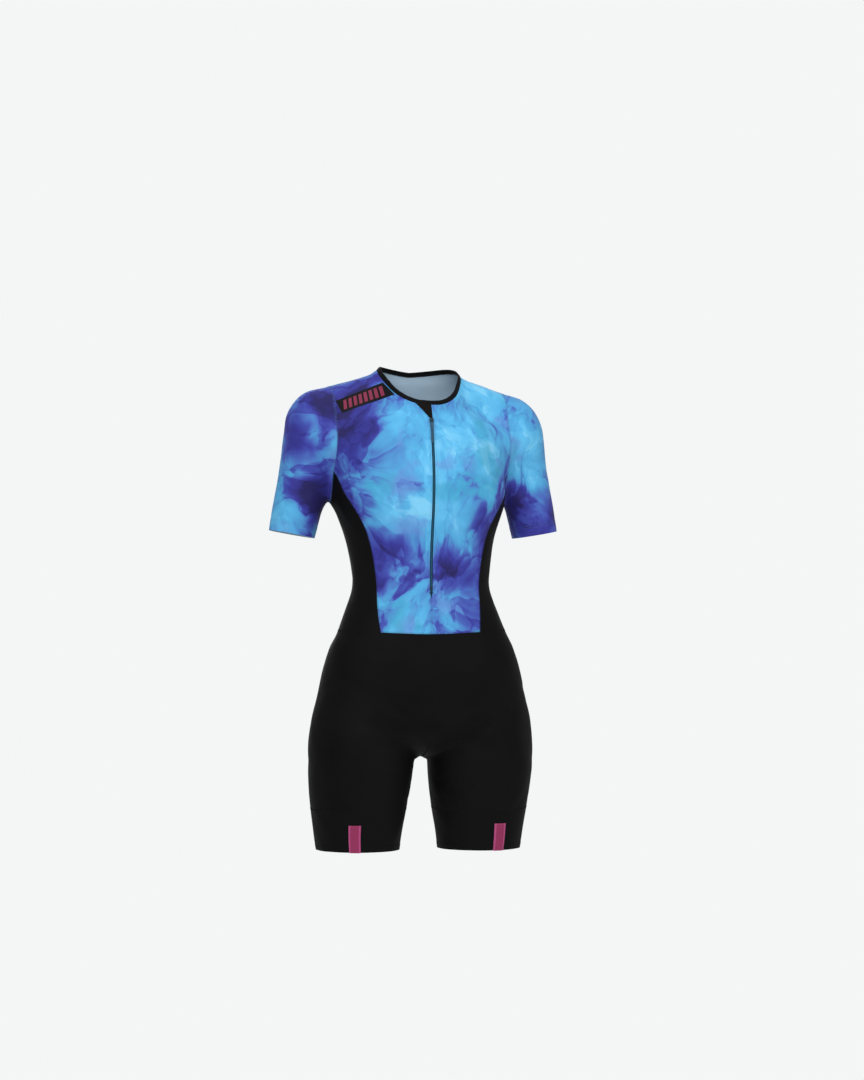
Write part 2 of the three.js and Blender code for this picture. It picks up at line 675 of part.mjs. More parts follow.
function shortsGrid() {
  const waist = [...waistFront, ...waistSide.slice(1), ...waistBack.slice(1)];
  const quarter = LEG_POINTS / 4;
  const frontRise = riseCurve("front");
  const backRise = riseCurve("back");
  const crotch = frontRise.at(-1);
  backRise[SEGMENTS.hip] = crotch.clone();
  const inseam = range(SEGMENTS.thigh, (t) => {
    if (t === 0) return crotch.clone();
    return legRay(lerp(CROTCH_Z - LEG_LINES.inseamDrop, BAND_SEAM_Z, t ** INSEAM_ROW_POWER), -90);
  }).slice(1);
  const line = (start, crotchZ, degrees, centre) =>
    legLevels(start.z, crotchZ).map((z, i) => {
      if (i === 0) return start.clone();
      if (z < CROTCH_Z + LEG_LINES.onLegAbove) return legRay(z, degrees);
      const settled = Math.min(i / SEGMENTS.hip, 1);
      const x = lerp(start.x, tableAt(LEG, "z", z).centre, settled);
      return centre ? trunkPoint(z, 90) : alongRay(insideTrunk(x, z), turnDirection(degrees));
    });
  const guides = [
    [...frontRise, ...inseam],
    line(waist[quarter], LEG_LINES.frontZ, 0, false),
    line(waist[2 * quarter], LEG_LINES.sideZ, 90, true),
    line(waist[3 * quarter], LEG_LINES.backZ, 180, false),
    [...backRise, ...inseam],
  ];
  const bandTop = legRing(BAND_SEAM_Z);
  return besides(
    ...guides.slice(0, 4).map((guide, k) => {
      const edge = (ring) => ring.slice(k * quarter, (k + 1) * quarter + 1);
      return patch(guide, guides[k + 1], edge(waist), edge(bandTop));
    }),
  );
}

// Ring round the leg, from the inseam past the front, the outside and the back.
const legRing = (z) => range(LEG_POINTS, (t) => legRay(z, -90 + 360 * t));
const shortsPanel = shortsGrid();
const bandGrid = range(SEGMENTS.band, (t) => legRing(lerp(BAND_SEAM_Z, LEG_HEM_Z, t)).slice(0, LEG_POINTS));

// Neck binding: a ring round the neck that is open at the centre front, over the zip.
const bindingMiddle = neck.top.map((p, i) => settle(p.clone().lerp(neck.seam[i], 0.5)));
const bindingGrid = [neck.top, bindingMiddle, neck.seam].map((row) => {
  const half = [frontPoint(BINDING.endX, row[0].z), ...row];
  return [...half, ...half.slice(0, -1).reverse().map(mirrored)];
});

// Zip. Its pieces follow the zip edge of the front panels.
function zipFrame(z) {
  const k = Math.max(zipEdge.findIndex((p) => p.z <= z), 1);
  const [a, b] = [zipEdge[k - 1], zipEdge[k]];
  const point = a.clone().lerp(b, (z - a.z) / (b.z - a.z));
  point.x = 0;
  const up = new THREE.Vector3(0, a.y - b.y, a.z - b.z).normalize();
  const out = new THREE.Vector3(0, -up.z, up.y);
  return { point, out: out.y > 0 ? out.negate() : out };
}

// Heights of the zip's rows: those of the panels between two ends, and the ends.
function zipLevels(top, bottom) {
  const between = zipEdge.map((p) => p.z).filter((z) => z < top - 1 && z > bottom + 1);
  return [top, ...between, bottom];
}

// Strip along the zip between two edges in x, from out to in along the zip's own normal.
function zipStrip(top, bottom, edgesAt, out, inner) {
  const levels = zipLevels(top, bottom);
  const place = (z, x, depth) => {
    const at = zipFrame(z);
    const dropBack = frontPoint(Math.abs(x), z).y - frontPoint(0, z).y;
    return posed(at.point.clone().addScaledVector(at.out, depth).add(new THREE.Vector3(x, dropBack, 0)));
  };
  const points = levels.flatMap((z) => {
    const [x0, x1] = edgesAt(z);
    return [place(z, x0, out), place(z, x1, out), place(z, x1, inner), place(z, x0, inner)];
  });
  const faces = [];
  const quad = (a, b, c, d) => faces.push(a, b, c, a, c, d);
  for (let i = 0; i < levels.length - 1; i += 1) {
    for (let k = 0; k < 4; k += 1) {
      quad(4 * i + k, 4 * i + ((k + 1) % 4), 4 * i + 4 + ((k + 1) % 4), 4 * i + 4 + k);
    }
  }
  const end = 4 * (levels.length - 1);
  quad(0, 3, 2, 1);
  quad(end, end + 1, end + 2, end + 3);
  return facingOut(points, faces);
}

// Half the gap between the tapes. They part above the slider, to let its post through.
function tapeGap(z) {
  const { below, above, closed, open } = ZIP.parting;
  return lerp(closed, open, THREE.MathUtils.smoothstep(z, ZIP.sliderZ - below, ZIP.sliderZ + above));
}

const boxAt = (x0, x1, y0, y1, z0, z1) =>
  new THREE.BoxGeometry(x1 - x0, y1 - y0, z1 - z0).translate((x0 + x1) / 2, (y0 + y1) / 2, (z0 + z1) / 2);

function sliderPlate(inner, outer) {
  const { half, length, footShare, headShare, shoulder } = SLIDER;
  const [foot, head] = [half * footShare, half * headShare];
  const outline = new THREE.Shape();
  outline.moveTo(-foot, -length / 2);
  outline.lineTo(foot, -length / 2);
  outline.quadraticCurveTo(half, -length / 2 + shoulder, half, 0);
  outline.quadraticCurveTo(half, length / 2 - shoulder, head, length / 2);
  outline.lineTo(-head, length / 2);
  outline.quadraticCurveTo(-half, length / 2 - shoulder, -half, 0);
  outline.quadraticCurveTo(-half, -length / 2 + shoulder, -foot, -length / 2);
  const extrusion = { depth: outer - inner, bevelEnabled: false, curveSegments: 3 };
  const plate = new THREE.ExtrudeGeometry(outline, extrusion);
  return solidOf(plate.translate(0, 0, inner));
}

function sliderGeometry() {
  const { half, plateOut, plateIn, backOut, backIn, post, bail, eye, sink } = SLIDER;
  const column = solidOf(boxAt(-post.half, post.half, post.low, post.high, backOut - sink, plateIn + sink));
  const arch = solidOf(boxAt(-bail.half, bail.half, bail.low, bail.high, plateOut - sink, bail.out));
  const hole = solidOf(boxAt(-half, half, eye.low, eye.high, plateOut + eye.up, eye.out));
  const plates = sliderPlate(plateIn, plateOut).add(sliderPlate(backIn, backOut));
  return geometryOf(plates.add(column).add(arch.subtract(hole)));
}

// Pull tab in its own frame: its pivot at the origin, its length down -y, flat against the cloth.
function pullGeometry() {
  const { length, width, thick, corner, shoulder, tip } = PULL;
  const half = width / 2;
  const outline = new THREE.Shape();
  outline.moveTo(-half + corner, WINDOW.above);
  outline.lineTo(half - corner, WINDOW.above);
  outline.quadraticCurveTo(half, WINDOW.above, half, WINDOW.above - shoulder);
  outline.lineTo(half, -length + tip);
  outline.quadraticCurveTo(half, -length, 0, -length);
  outline.quadraticCurveTo(-half, -length, -half, -length + tip);
  outline.lineTo(-half, WINDOW.above - shoulder);
  outline.quadraticCurveTo(-half, WINDOW.above, -half + corner, WINDOW.above);
  const plate = new THREE.ExtrudeGeometry(outline, { depth: thick, bevelEnabled: false, curveSegments: 4 });
  const slot = boxAt(-WINDOW.half, WINDOW.half, -WINDOW.below, width, -thick, thick);
  const bar = new THREE.CylinderGeometry(PIVOT.radius, PIVOT.radius, WINDOW.half + half, 12);
  const tab = solidOf(plate.translate(0, 0, -thick / 2)).subtract(solidOf(slot));
  return geometryOf(tab.add(solidOf(bar.rotateZ(Math.PI / 2))));
}

// Frame of the slider on the zip, posed.
function sliderMatrix() {
  const at = zipFrame(ZIP.sliderZ);
  const x = posed(at.point.clone().add(new THREE.Vector3(1, 0, 0))).sub(posed(at.point)).normalize();
  const out = at.out.clone();
  const up = out.clone().cross(x).normalize();
  out.copy(x).cross(up);
  return new THREE.Matrix4().makeBasis(x, up, out).setPosition(posed(at.point));
}

// The pull tab leans in until its end lies just off the cloth.
function pullMatrix() {
  const slider = sliderMatrix();
  const pivot = new THREE.Vector3(0, PIVOT.up, PIVOT.out).applyMatrix4(slider);
  const rest = zipFrame(ZIP.sliderZ + PIVOT.up - PULL.length * PULL.restShare);
  const target = posed(rest.point.clone().addScaledVector(rest.out, PULL.restOut));
  const local = target.applyMatrix4(slider.clone().invert());
  const lean = Math.atan2(PIVOT.out - local.z, PIVOT.up - local.y);
  const turn = new THREE.Matrix4().makeRotationX(lean);
  return new THREE.Matrix4().makeTranslation(pivot.x, pivot.y, pivot.z).multiply(
    new THREE.Matrix4().extractRotation(slider).multiply(turn),
  );
}

// Guard of black cloth over the top of the zip, on the wearer's right front panel.
function guardGrid() {
  const seam = [...neckFrontSeam].reverse().map(mirrored).concat(neckFrontSeam.slice(0, 2));
  const seamZ = (x) => {
    const k = Math.max(seam.findIndex((p) => p.x >= x), 1);
    return lerp(seam[k - 1].z, seam[k].z, (x - seam[k - 1].x) / (seam[k].x - seam[k - 1].x));
  };
  return range(3, (v) =>
    range(4, (u) => {
      const x = lerp(lerp(GUARD.left, GUARD.tipLeft, v ** GUARD.bow), GUARD.right, u);
      return frontPoint(x, lerp(seamZ(x) - GUARD.belowSeam, GUARD.tipZ, v));
    }),
  );
}

// Plain tab over each leg band, a little to the outside of the centre of the leg.
function hemTabGrid() {
  const { turn, width, above, below, legRadius } = HEM_TAB;
  const spread = THREE.MathUtils.radToDeg(width / 2 / legRadius);
  return range(4, (v) =>
    range(3, (u) => legRay(LEG_HEM_Z + lerp(above, -below, v), turn + lerp(-spread, spread, u))),
  );
}

// Materials
const cloth = (color, roughness) => new THREE.MeshStandardMaterial({ color, roughness, metalness: 0 });
const material = {
  print: cloth(0x5fb0e6, 0.62),
  black: cloth(0x151516, 0.6),
  binding: cloth(0x0e0e10, 0.7),
  zip: cloth(0x14343f, 0.5),
  pull: cloth(0x2f5c66, 0.45),
  slider: new THREE.MeshStandardMaterial({ color: 0x202326, roughness: 0.35, metalness: 0.6 }),
  tab: cloth(0xb84a86, 0.55),
};

const suit = new THREE.Group();
suit.name = "triathlon_suit";

function addMesh(name, geometry, finish, matrix) {
  const mesh = new THREE.Mesh(geometry, finish);
  mesh.name = name;
  if (matrix) mesh.applyMatrix4(matrix);
  suit.add(mesh);
}

function addWall(name, grid, finish, { thick = CLOTH, lift = 0, closed = false, seams = true } = {}) {
  const cut = seams ? drawnIn(grid, closed) : grid;
  addMesh(name, wallGeometry(cut, thick, lift, closed), finish);
}

// A piece and its mirror image, named for the wearer's sides.
function addPair(name, grid, finish, options) {
  addWall(`${name}_left`, grid, finish, options);
  addWall(`${name}_right`, grid.map((row) => row.map(mirrored)), finish, options);
}

addPair("front", frontGrid, material.print);
addPair("side", sideGrid, material.black);
addWall("back", backGrid, material.print);
addPair("sleeve", sleeveGrid, material.print);
addPair("shorts", shortsPanel, material.black);
addPair("leg_band", bandGrid, material.black, { thick: BAND_CLOTH, closed: true });
addWall("neck_binding", bindingGrid, material.binding, BINDING);
addWall("zip_guard", guardGrid(), material.binding, { lift: CLOTH + SEAM_GAP, seams: false });
addPair("hem_tab", hemTabGrid(), material.tab, { ...HEM_TAB, seams: false });

// Adds a strip of the zip with its sides at edges, which are an x or a function of the height.
function addStrip(name, top, bottom, edges, { out, inner }, finish) {
  const edgesAt = (z) => edges.map((x) => (typeof x === "function" ? x(z) : x));
  addMesh(name, zipStrip(top, bottom, edgesAt, out, inner), finish);
}

const { tape, chain, stop } = ZIP;
const tapeTop = neck.seam[0].z - tape.topGap;
const chainTop = ZIP.sliderZ + chain.aboveSlider;
const stopTop = ZIP.stopZ - stop.gap;
addStrip("zip_tape_left", tapeTop, ZIP.tapeEndZ, [tapeGap, tape.half], tape, material.zip);
addStrip("zip_tape_right", tapeTop, ZIP.tapeEndZ, [-tape.half, (z) => -tapeGap(z)], tape, material.zip);
addStrip("zip_chain", chainTop, ZIP.stopZ, [-chain.half, chain.half], chain, material.zip);
addStrip("zip_stop", stopTop, stopTop - stop.length, [-stop.half, stop.half], stop, material.slider);
addMesh("zip_slider", sliderGeometry(), material.slider, sliderMatrix());
addMesh("zip_pull", pullGeometry(), material.pull, pullMatrix());

export default suit;
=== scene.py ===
"""A short-sleeved one-piece triathlon suit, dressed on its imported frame.

Lengths in the tables are millimetres on an even, upright form whose front faces -Y. Every cloth
piece is a thin closed wall cut along its seams from that form, with its creases laid on it, and is
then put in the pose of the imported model. Meshes are in metres.
"""

from __future__ import annotations

import logging
import math
from dataclasses import dataclass, field, replace
from enum import Enum
from typing import Sequence

import bpy
import numpy as np
from mathutils import Matrix, Vector

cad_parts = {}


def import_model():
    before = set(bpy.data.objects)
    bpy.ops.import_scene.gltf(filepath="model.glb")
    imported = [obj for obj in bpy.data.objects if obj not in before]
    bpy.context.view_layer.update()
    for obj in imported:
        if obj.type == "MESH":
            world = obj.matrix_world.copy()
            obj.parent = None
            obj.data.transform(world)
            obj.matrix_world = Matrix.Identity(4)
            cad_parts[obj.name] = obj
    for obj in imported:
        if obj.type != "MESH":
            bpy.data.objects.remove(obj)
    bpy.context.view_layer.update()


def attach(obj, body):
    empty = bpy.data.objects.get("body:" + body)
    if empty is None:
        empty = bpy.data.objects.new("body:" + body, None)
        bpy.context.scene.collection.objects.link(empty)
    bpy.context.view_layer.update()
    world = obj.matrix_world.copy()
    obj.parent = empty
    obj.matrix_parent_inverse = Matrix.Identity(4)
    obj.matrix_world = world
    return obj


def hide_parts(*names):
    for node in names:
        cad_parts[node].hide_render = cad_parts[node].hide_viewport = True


Array = np.ndarray
Point = tuple[float, float, float]
Colour = tuple[float, float, float, float]
Stop = tuple[float, Colour]
Material = bpy.types.Material
Node = bpy.types.Node
Socket = bpy.types.NodeSocket
log = logging.getLogger("suit")

MM = 0.001
FINE = 5
TINY = 1e-12
LEFT_RIGHT = (("left", 1.0), ("right", -1.0))
NO_X = np.array([0.0, 1.0, 1.0])


def unit(v: Array) -> Array:
    """Vectors scaled to a length of one."""
    return v / np.maximum(np.linalg.norm(v, axis=-1, keepdims=True), TINY)


def lerp(a: Array | float, b: Array | float, t: Array | float) -> Array | float:
    """The value a share t of the way from a to b."""
    return a + (b - a) * t


def smoothstep(x: Array | float, low: float, high: float) -> Array:
    """Zero below low, one above high, and an even S curve between them; low may be the greater."""
    t = np.clip((np.asarray(x, float) - low) / (high - low), 0.0, 1.0)
    return t * t * (3.0 - 2.0 * t)


def soft_min(a: Array, b: Array, soft: float) -> Array:
    """The lesser of two distances, rounded by a cubic where they are within soft of each other."""
    h = np.maximum(soft - np.abs(a - b), 0.0) / soft
    return np.minimum(a, b) - h**3 * soft / 6.0


def arrays(*values: Array | float) -> Sequence[Array]:
    """The values as arrays of numbers that all have the same shape."""
    return np.broadcast_arrays(*(np.asarray(value, float) for value in values))


def turn_direction(degrees: Array | float) -> Array:
    """Level directions by their turn from straight ahead, which is -Y, towards +X."""
    angle = np.radians(np.asarray(degrees, float))
    return np.stack([np.sin(angle), -np.cos(angle), np.zeros_like(angle)], -1)


def mirrored(p: Array, sign: float = -1.0) -> Array:
    """Points with x times the sign, which is negative for the wearer's other side."""
    return p * np.array([sign, 1.0, 1.0])


def lengths_along(line: Array) -> Array:
    """Distance along a line of points from its first point to each."""
    return np.concatenate([[0.0], np.cumsum(np.linalg.norm(np.diff(line, axis=0), axis=-1))])


def steps(count: int) -> Array:
    """Shares from 0 to 1 in so many equal steps."""
    return np.linspace(0.0, 1.0, count + 1)


class Table:
    """Rows of numbers that are read as a smooth cubic along their first column."""

    def __init__(self, rows: Sequence[Sequence[float]]) -> None:
        """Sorts the rows and works out the slope at each from its two neighbours.

        Args:
            rows: the place of each row, and then its values.
        """
        data = np.array(sorted(rows), float)
        self.keys, self.values = data[:, 0], data[:, 1:]
        before = np.maximum(np.arange(len(data)) - 1, 0)
        after = np.minimum(np.arange(len(data)) + 1, len(data) - 1)
        rise = self.values[after] - self.values[before]
        self.slopes = rise / (self.keys[after] - self.keys[before])[:, None]

    def at(self, place: Array | float) -> Array:
        """Values at each place, held at the ends: a Hermite cubic of the two rows and their slopes.

        Args:
            place: where to read, along the first column.

        Returns:
            One array for each value column.
        """
        place = np.asarray(place, float)
        i = np.clip(np.searchsorted(self.keys, place) - 1, 0, len(self.keys) - 2)
        span = (self.keys[i + 1] - self.keys[i])[..., None]
        t = np.clip((place[..., None] - self.keys[i][..., None]) / span, 0.0, 1.0)
        read = (
            self.values[i] * (2 * t**3 - 3 * t**2 + 1)
            + self.slopes[i] * span * (t**3 - 2 * t**2 + t)
            + self.values[i + 1] * (3 * t**2 - 2 * t**3)
            + self.slopes[i + 1] * span * (t**3 - t**2)
        )
        return np.moveaxis(read, -1, 0)


# z, half width, reach of the front and the back, y of the widest line, squareness
TRUNK = (
    (-24, 56, -46, 66, 12, 2.0),
    (-60, 86, -67, 84, 12, 2.1),
    (-100, 116, -84, 95, 12, 2.2),
    (-140, 136, -96, 103, 10, 2.3),
    (-180, 146, -106, 104, 7, 2.3),
    (-225, 147, -111, 100, 5, 2.3),
    (-250, 140, -110, 94, 4, 2.2),
    (-280, 130, -106, 86, 0, 2.1),
    (-310, 123, -102, 79, -6, 2.1),
    (-342, 118, -100, 73, -13, 2.1),
    (-375, 118, -100, 70, -15, 2.1),
    (-413, 131, -102, 74, -16, 2.15),
    (-447, 144, -105, 82, -17, 2.2),
    (-474, 157, -107, 90, -14, 2.2),
    (-515, 170, -108, 103, -8, 2.2),
    (-556, 178, -107, 115, -2, 2.2),
    (-597, 187, -103, 121, 0, 2.15),
    (-640, 190, -96, 117, 0, 2.1),
    (-690, 188, -85, 106, 0, 2.1),
)

# z, x of the leg's centre, half width, reach of the front and the back, y of the widest line,
# squareness
LEG = (
    (-520, 84, 70, -78, 88, 0, 2.0),
    (-600, 97, 86, -91, 108, 0, 2.0),
    (-668, 103, 89, -91, 105, 0, 2.0),
    (-716, 104, 85.5, -84, 97, 2, 2.0),
    (-755, 105, 79.5, -76, 90, 4, 2.0),
    (-790, 105.5, 74, -70, 84, 6, 2.0),
    (-815, 105, 70.5, -66, 80, 6, 2.0),
    (-850, 104, 66, -61, 75, 6, 2.0),
)

# turn from the centre front in degrees, z of the neckline
NECKLINE = (
    *((0, -56), (15, -54.5), (28, -49), (45, -37.5), (62, -22)),
    *((75, -10), (90, -1), (120, 3), (180, -3)),
)

# z, turn of the seam from the centre front in degrees
FRONT_SIDE_SEAM = (
    *((-215, 70), (-243, 61.5), (-262, 58.5), (-282, 57), (-310, 56.5)),
    *((-341, 57), (-375, 56), (-410, 53), (-447, 49)),
)
BACK_SIDE_SEAM = (
    *((-215, 113), (-243, 119), (-282, 123), (-341, 124)),
    *((-375, 125), (-410, 127), (-447, 131)),
)


@dataclass(frozen=True)
class Taper:
    """A round taper of the form, from one ball to another."""

    start: Point
    end: Point
    radius: float
    end_radius: float
    soft: float

    def gap(self, p: Array) -> Array:
        """Distance from the nearest point of the axis, less the radius, which runs evenly along it.

        Args:
            p: points, the last axis x, y and z.

        Returns:
            One distance for each point, negative inside.
        """
        a = np.array(self.start, float)
        axis = np.array(self.end, float) - a
        t = np.clip((p - a) @ axis / (axis @ axis), 0.0, 1.0)
        away = np.linalg.norm(p - a - t[..., None] * axis, axis=-1)
        return away - lerp(self.radius, self.end_radius, t)


def section_gap(dx: Array, y: Array, row: Array) -> Array:
    """Distance out from a section's outline along its own ray, negative inside.

    Args:
        dx: distance from the section's middle in x.
        y: the points' y.
        row: half width, front, back, y of the widest line, and squareness, as arrays.

    Returns:
        The distance less the superellipse's radius in that direction.
    """
    half, front, back, mid, power = row
    dy = y - mid
    reach = np.where(dy < 0, mid - front, back - mid)
    r = np.hypot(dx, dy)
    share = (np.abs(dx) / half) ** power + (np.abs(dy) / reach) ** power
    edge = r / np.maximum(share, TINY) ** (1.0 / power)
    return np.where(r < 1e-6, -np.minimum(half, reach), r - edge)


class Figure:
    """The even form that the suit is cut from: a soft union of its trunk, tapers and legs."""

    CROTCH_Z = -658.0
    CROTCH_MID_Y = 4.0
    CROTCH_RADIUS = 120.0
    CROTCH_SOFT = 22.0
    LEG_SOFT = 18.0
    UPPER_Z = -330.0
    LEG_START = 40.0
    NORMAL_REACH = 5.0
    SETTLE_REACH = 0.05
    LEAST_SLOPE = 0.05
    LONGEST_STEP = 25.0
    STRIDE = 4.0
    FARTHEST = 500.0
    HALVINGS = 18

    def __init__(self) -> None:
        """Reads the section tables and sets out the round tapers."""
        self.trunk, self.leg = Table(TRUNK), Table(LEG)
        self.trunk_top, self.leg_top = self.trunk.keys[-1], self.leg.keys[-1]
        self.tapers = (
            Taper((0, 20, -38), (166, 30, -84), 48, 43, 42),
            Taper((72, -30, -128), (158, 16, -128), 50, 38, 40),
            Taper((72, 42, -122), (158, 44, -122), 50, 36, 40),
            Taper((0, 12, -70), (0, 4, 45), 67, 61, 30),
            Taper((178, 33, -108), (218, 43, -310), 46, 38, 47),
        )

    def gap(self, p: Array) -> Array:
        """Distance out from the form, negative inside it: the soft least of its parts' distances.

        Args:
            p: points, the last axis x, y and z.

        Returns:
            One distance for each point.
        """
        even = p.reshape(-1, 3).copy()
        even[:, 0] = np.abs(even[:, 0])
        side, y, z = even.T
        crotch = self.CROTCH_Z + (y - self.CROTCH_MID_Y) ** 2 / (2 * self.CROTCH_RADIUS) - z
        trunk = np.maximum(section_gap(side, y, self.trunk.at(z)), z - self.trunk_top)
        gap = -soft_min(-trunk, -crotch, self.CROTCH_SOFT)
        upper = z > self.UPPER_Z
        part = gap[upper]
        for taper in self.tapers:
            part = soft_min(part, taper.gap(even[upper]), taper.soft)
        gap[upper] = part
        lower = z < self.leg_top + self.LEG_START
        row = self.leg.at(z[lower])
        leg = section_gap(side[lower] - row[0], y[lower], row[1:])
        leg = np.maximum(leg, z[lower] - self.leg_top)
        gap[lower] = soft_min(gap[lower], leg, self.LEG_SOFT)
        return gap.reshape(p.shape[:-1])

    def gradient(self, p: Array, reach: float) -> Array:
        """Slope of the distance, from its differences over a reach to both sides on each axis."""
        rises = [self.gap(p + e) - self.gap(p - e) for e in reach * np.eye(3)]
        return np.stack(rises, -1) / (2 * reach)

    def normal(self, p: Array) -> Array:
        """Directions straight out of the form, taken over a reach so that they turn gently."""
        return unit(self.gradient(p, self.NORMAL_REACH))

    def settle(self, p: Array, rounds: int = 8) -> Array:
        """Moves points near the form onto it by Newton steps down the slope.

        Args:
            p: points near the form.
            rounds: how many steps.

        Returns:
            The points on the form.
        """
        for _ in range(rounds):
            slope = self.gradient(p, self.SETTLE_REACH)
            stride = self.gap(p) / np.maximum((slope**2).sum(-1), self.LEAST_SLOPE)
            p = p - slope * np.clip(stride, -self.LONGEST_STEP, self.LONGEST_STEP)[..., None]
        return p

    def ray(self, start: Array, direction: Array) -> Array:
        """First place where a ray from inside the form comes out: even strides, then halving.

        Args:
            start: points inside the form.
            direction: directions, of any length.

        Returns:
            The points on the form.
        """
        start, direction = arrays(start, unit(np.asarray(direction, float)))
        shape = start.shape
        start, direction = start.reshape(-1, 3), direction.reshape(-1, 3)
        near = np.zeros(len(start))
        going = np.arange(len(start))
        while len(going) and near[going].max() < self.FARTHEST:
            ahead = start[going] + direction[going] * (near[going] + self.STRIDE)[:, None]
            going = going[self.gap(ahead) < 0]
            near[going] += self.STRIDE
        far = near + self.STRIDE
        for _ in range(self.HALVINGS):
            middle = (near + far) / 2
            inside = self.gap(start + direction * middle[:, None]) < 0
            near, far = np.where(inside, middle, near), np.where(inside, far, middle)
        return (start + direction * ((near + far) / 2)[:, None]).reshape(shape)

    def trunk_point(self, z: Array | float, turn: Array | float) -> Array:
        """The place on the trunk at a height and a turn about its middle line."""
        z, turn = arrays(z, turn)
        return self.ray(np.stack([0.0 * z, self.trunk.at(z)[3], z], -1), turn_direction(turn))

    def front_point(self, x: Array | float, z: Array | float) -> Array:
        """The place on the front of the trunk at an x and a height."""
        x, z = arrays(x, z)
        return self.ray(np.stack([x, self.trunk.at(z)[3], z], -1), turn_direction(0.0))

    def leg_point(self, z: Array | float, turn: Array | float) -> Array:
        """The place on a leg at a height and a turn about the leg's middle line.

        Args:
            z: height.
            turn: degrees from straight ahead.

        Returns:
            The points on the form.
        """
        z, turn = arrays(z, turn)
        row = self.leg.at(z)
        return self.ray(np.stack([row[0], row[4], z], -1), turn_direction(turn))


class Side(Enum):
    """Which of the wearer's sides a crease lies on."""

    BOTH = 0
    LEFT = 1
    RIGHT = -1


@dataclass(frozen=True)
class Crease:
    """A soft trough along a curve on the cloth, with a low ridge on each side.

    The curve is a quadratic one through start, by way of middle, to end. Its x is the distance from
    the suit's middle. A crease on both sides differs a little between them, unless it is even.
    """

    start: Point
    middle: Point
    end: Point
    width: float
    depth: float
    side: Side = Side.BOTH
    uneven: float = 0.35
    drift: float = 2.6
    drift_shares: Point = (0.4, 1.0, 0.7)
    depth_drift: float = 0.22
    points: int = 15
    reach: float = 2.6
    ridge: float = 0.7

    def on_side(self, sign: int, number: int) -> Crease:
        """This crease as it lies on one side: moved and weakened a little, by sines of its number.

        Args:
            sign: 1 for the wearer's left and -1 for the right.
            number: the crease's number.

        Returns:
            The crease there.
        """
        if self.side is not Side.BOTH or self.uneven == 0.0:
            return self
        drift = self.drift * math.sin(2.3 * number + 1.1 * sign)
        curve = zip((self.start, self.middle, self.end), self.drift_shares)
        moved = [(x, y, z + drift * share) for (x, y, z), share in curve]
        depth = self.depth * (1.0 + self.depth_drift * math.sin(1.7 * number - sign))
        return Crease(*moved, self.width, depth, uneven=self.uneven)

    def depth_at(self, p: Array, number: int) -> Array:
        """How far the crease moves the cloth at points that are already on its side.

        The trough is (1 - ridge a^2) exp(-a^2), where a is the distance from the curve as a share
        of the width, times a sine from end to end and a slow unevenness along the curve.

        Args:
            p: points with x as the distance from the suit's middle.
            number: the crease's number, which sets the phase of its unevenness.

        Returns:
            Millimetres out from the form, negative in the trough.
        """
        a, b, c = (np.array(q, float) for q in (self.start, self.middle, self.end))
        t = np.linspace(0.0, 1.0, self.points)[:, None]
        control = 2 * b - (a + c) / 2
        curve = (1 - t) ** 2 * a + 2 * t * (1 - t) * control + t**2 * c
        move = np.zeros(len(p))
        reach = self.reach * self.width
        near = np.all((p > curve.min(0) - reach) & (p < curve.max(0) + reach), axis=1)
        if not near.any():
            return move
        q = p[near][:, None, :]
        begin, along = curve[:-1], np.diff(curve, axis=0)
        part = np.clip(((q - begin) * along).sum(-1) / (along**2).sum(-1), 0.0, 1.0)
        away = np.linalg.norm(q - begin - part[..., None] * along, axis=-1)
        best = away.argmin(1)
        rows = np.arange(len(best))
        share = (best + part[rows, best]) / (len(curve) - 1)
        wave = 1.0 + self.uneven * np.sin(9.0 * share + 1.9 * number)
        width = self.width * (1.0 + 0.3 * self.uneven * np.sin(7.0 * share + number))
        a2 = (away[rows, best] / width) ** 2
        trough = (1 - self.ridge * a2) * np.exp(-a2)
        move[near] = -self.depth * np.sin(np.pi * share) * wave * trough
        return move


def creases(rows: Sequence[Sequence[float]], side: Side = Side.BOTH) -> list[Crease]:
    """Creases from rows of x, y and z at the start, the middle and the end, width and depth."""
    return [Crease(row[0:3], row[3:6], row[6:9], row[9], row[10], side) for row in rows]


def main_crease(start: Point, end: Point, width: float, depth: float) -> Crease:
    """One of the largest creases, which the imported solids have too: straight and even."""
    middle = tuple((a + b) / 2 for a, b in zip(start, end))
    return Crease(start, middle, end, width, depth, uneven=0.0)


MAIN_CREASES = (
    main_crease((150, -30, -196), (104, -98, -176), 13, 2.0),
    main_crease((148, -18, -222), (112, -86, -238), 12, 1.5),
    main_crease((150, 70, -190), (98, 100, -160), 14, 2.2),
    main_crease((168, -8, -214), (226, 18, -176), 12, 1.8),
    main_crease((166, 80, -210), (222, 82, -170), 13, 1.8),
    main_crease((117, -10, -352), (78, 62, -366), 12, 1.6),
    main_crease((22, -78, -640), (128, -96, -588), 15, 2.4),
    main_crease((20, 96, -655), (132, 98, -668), 15, 2.6),
    main_crease((16, -10, -690), (70, -84, -664), 12, 1.6),
)

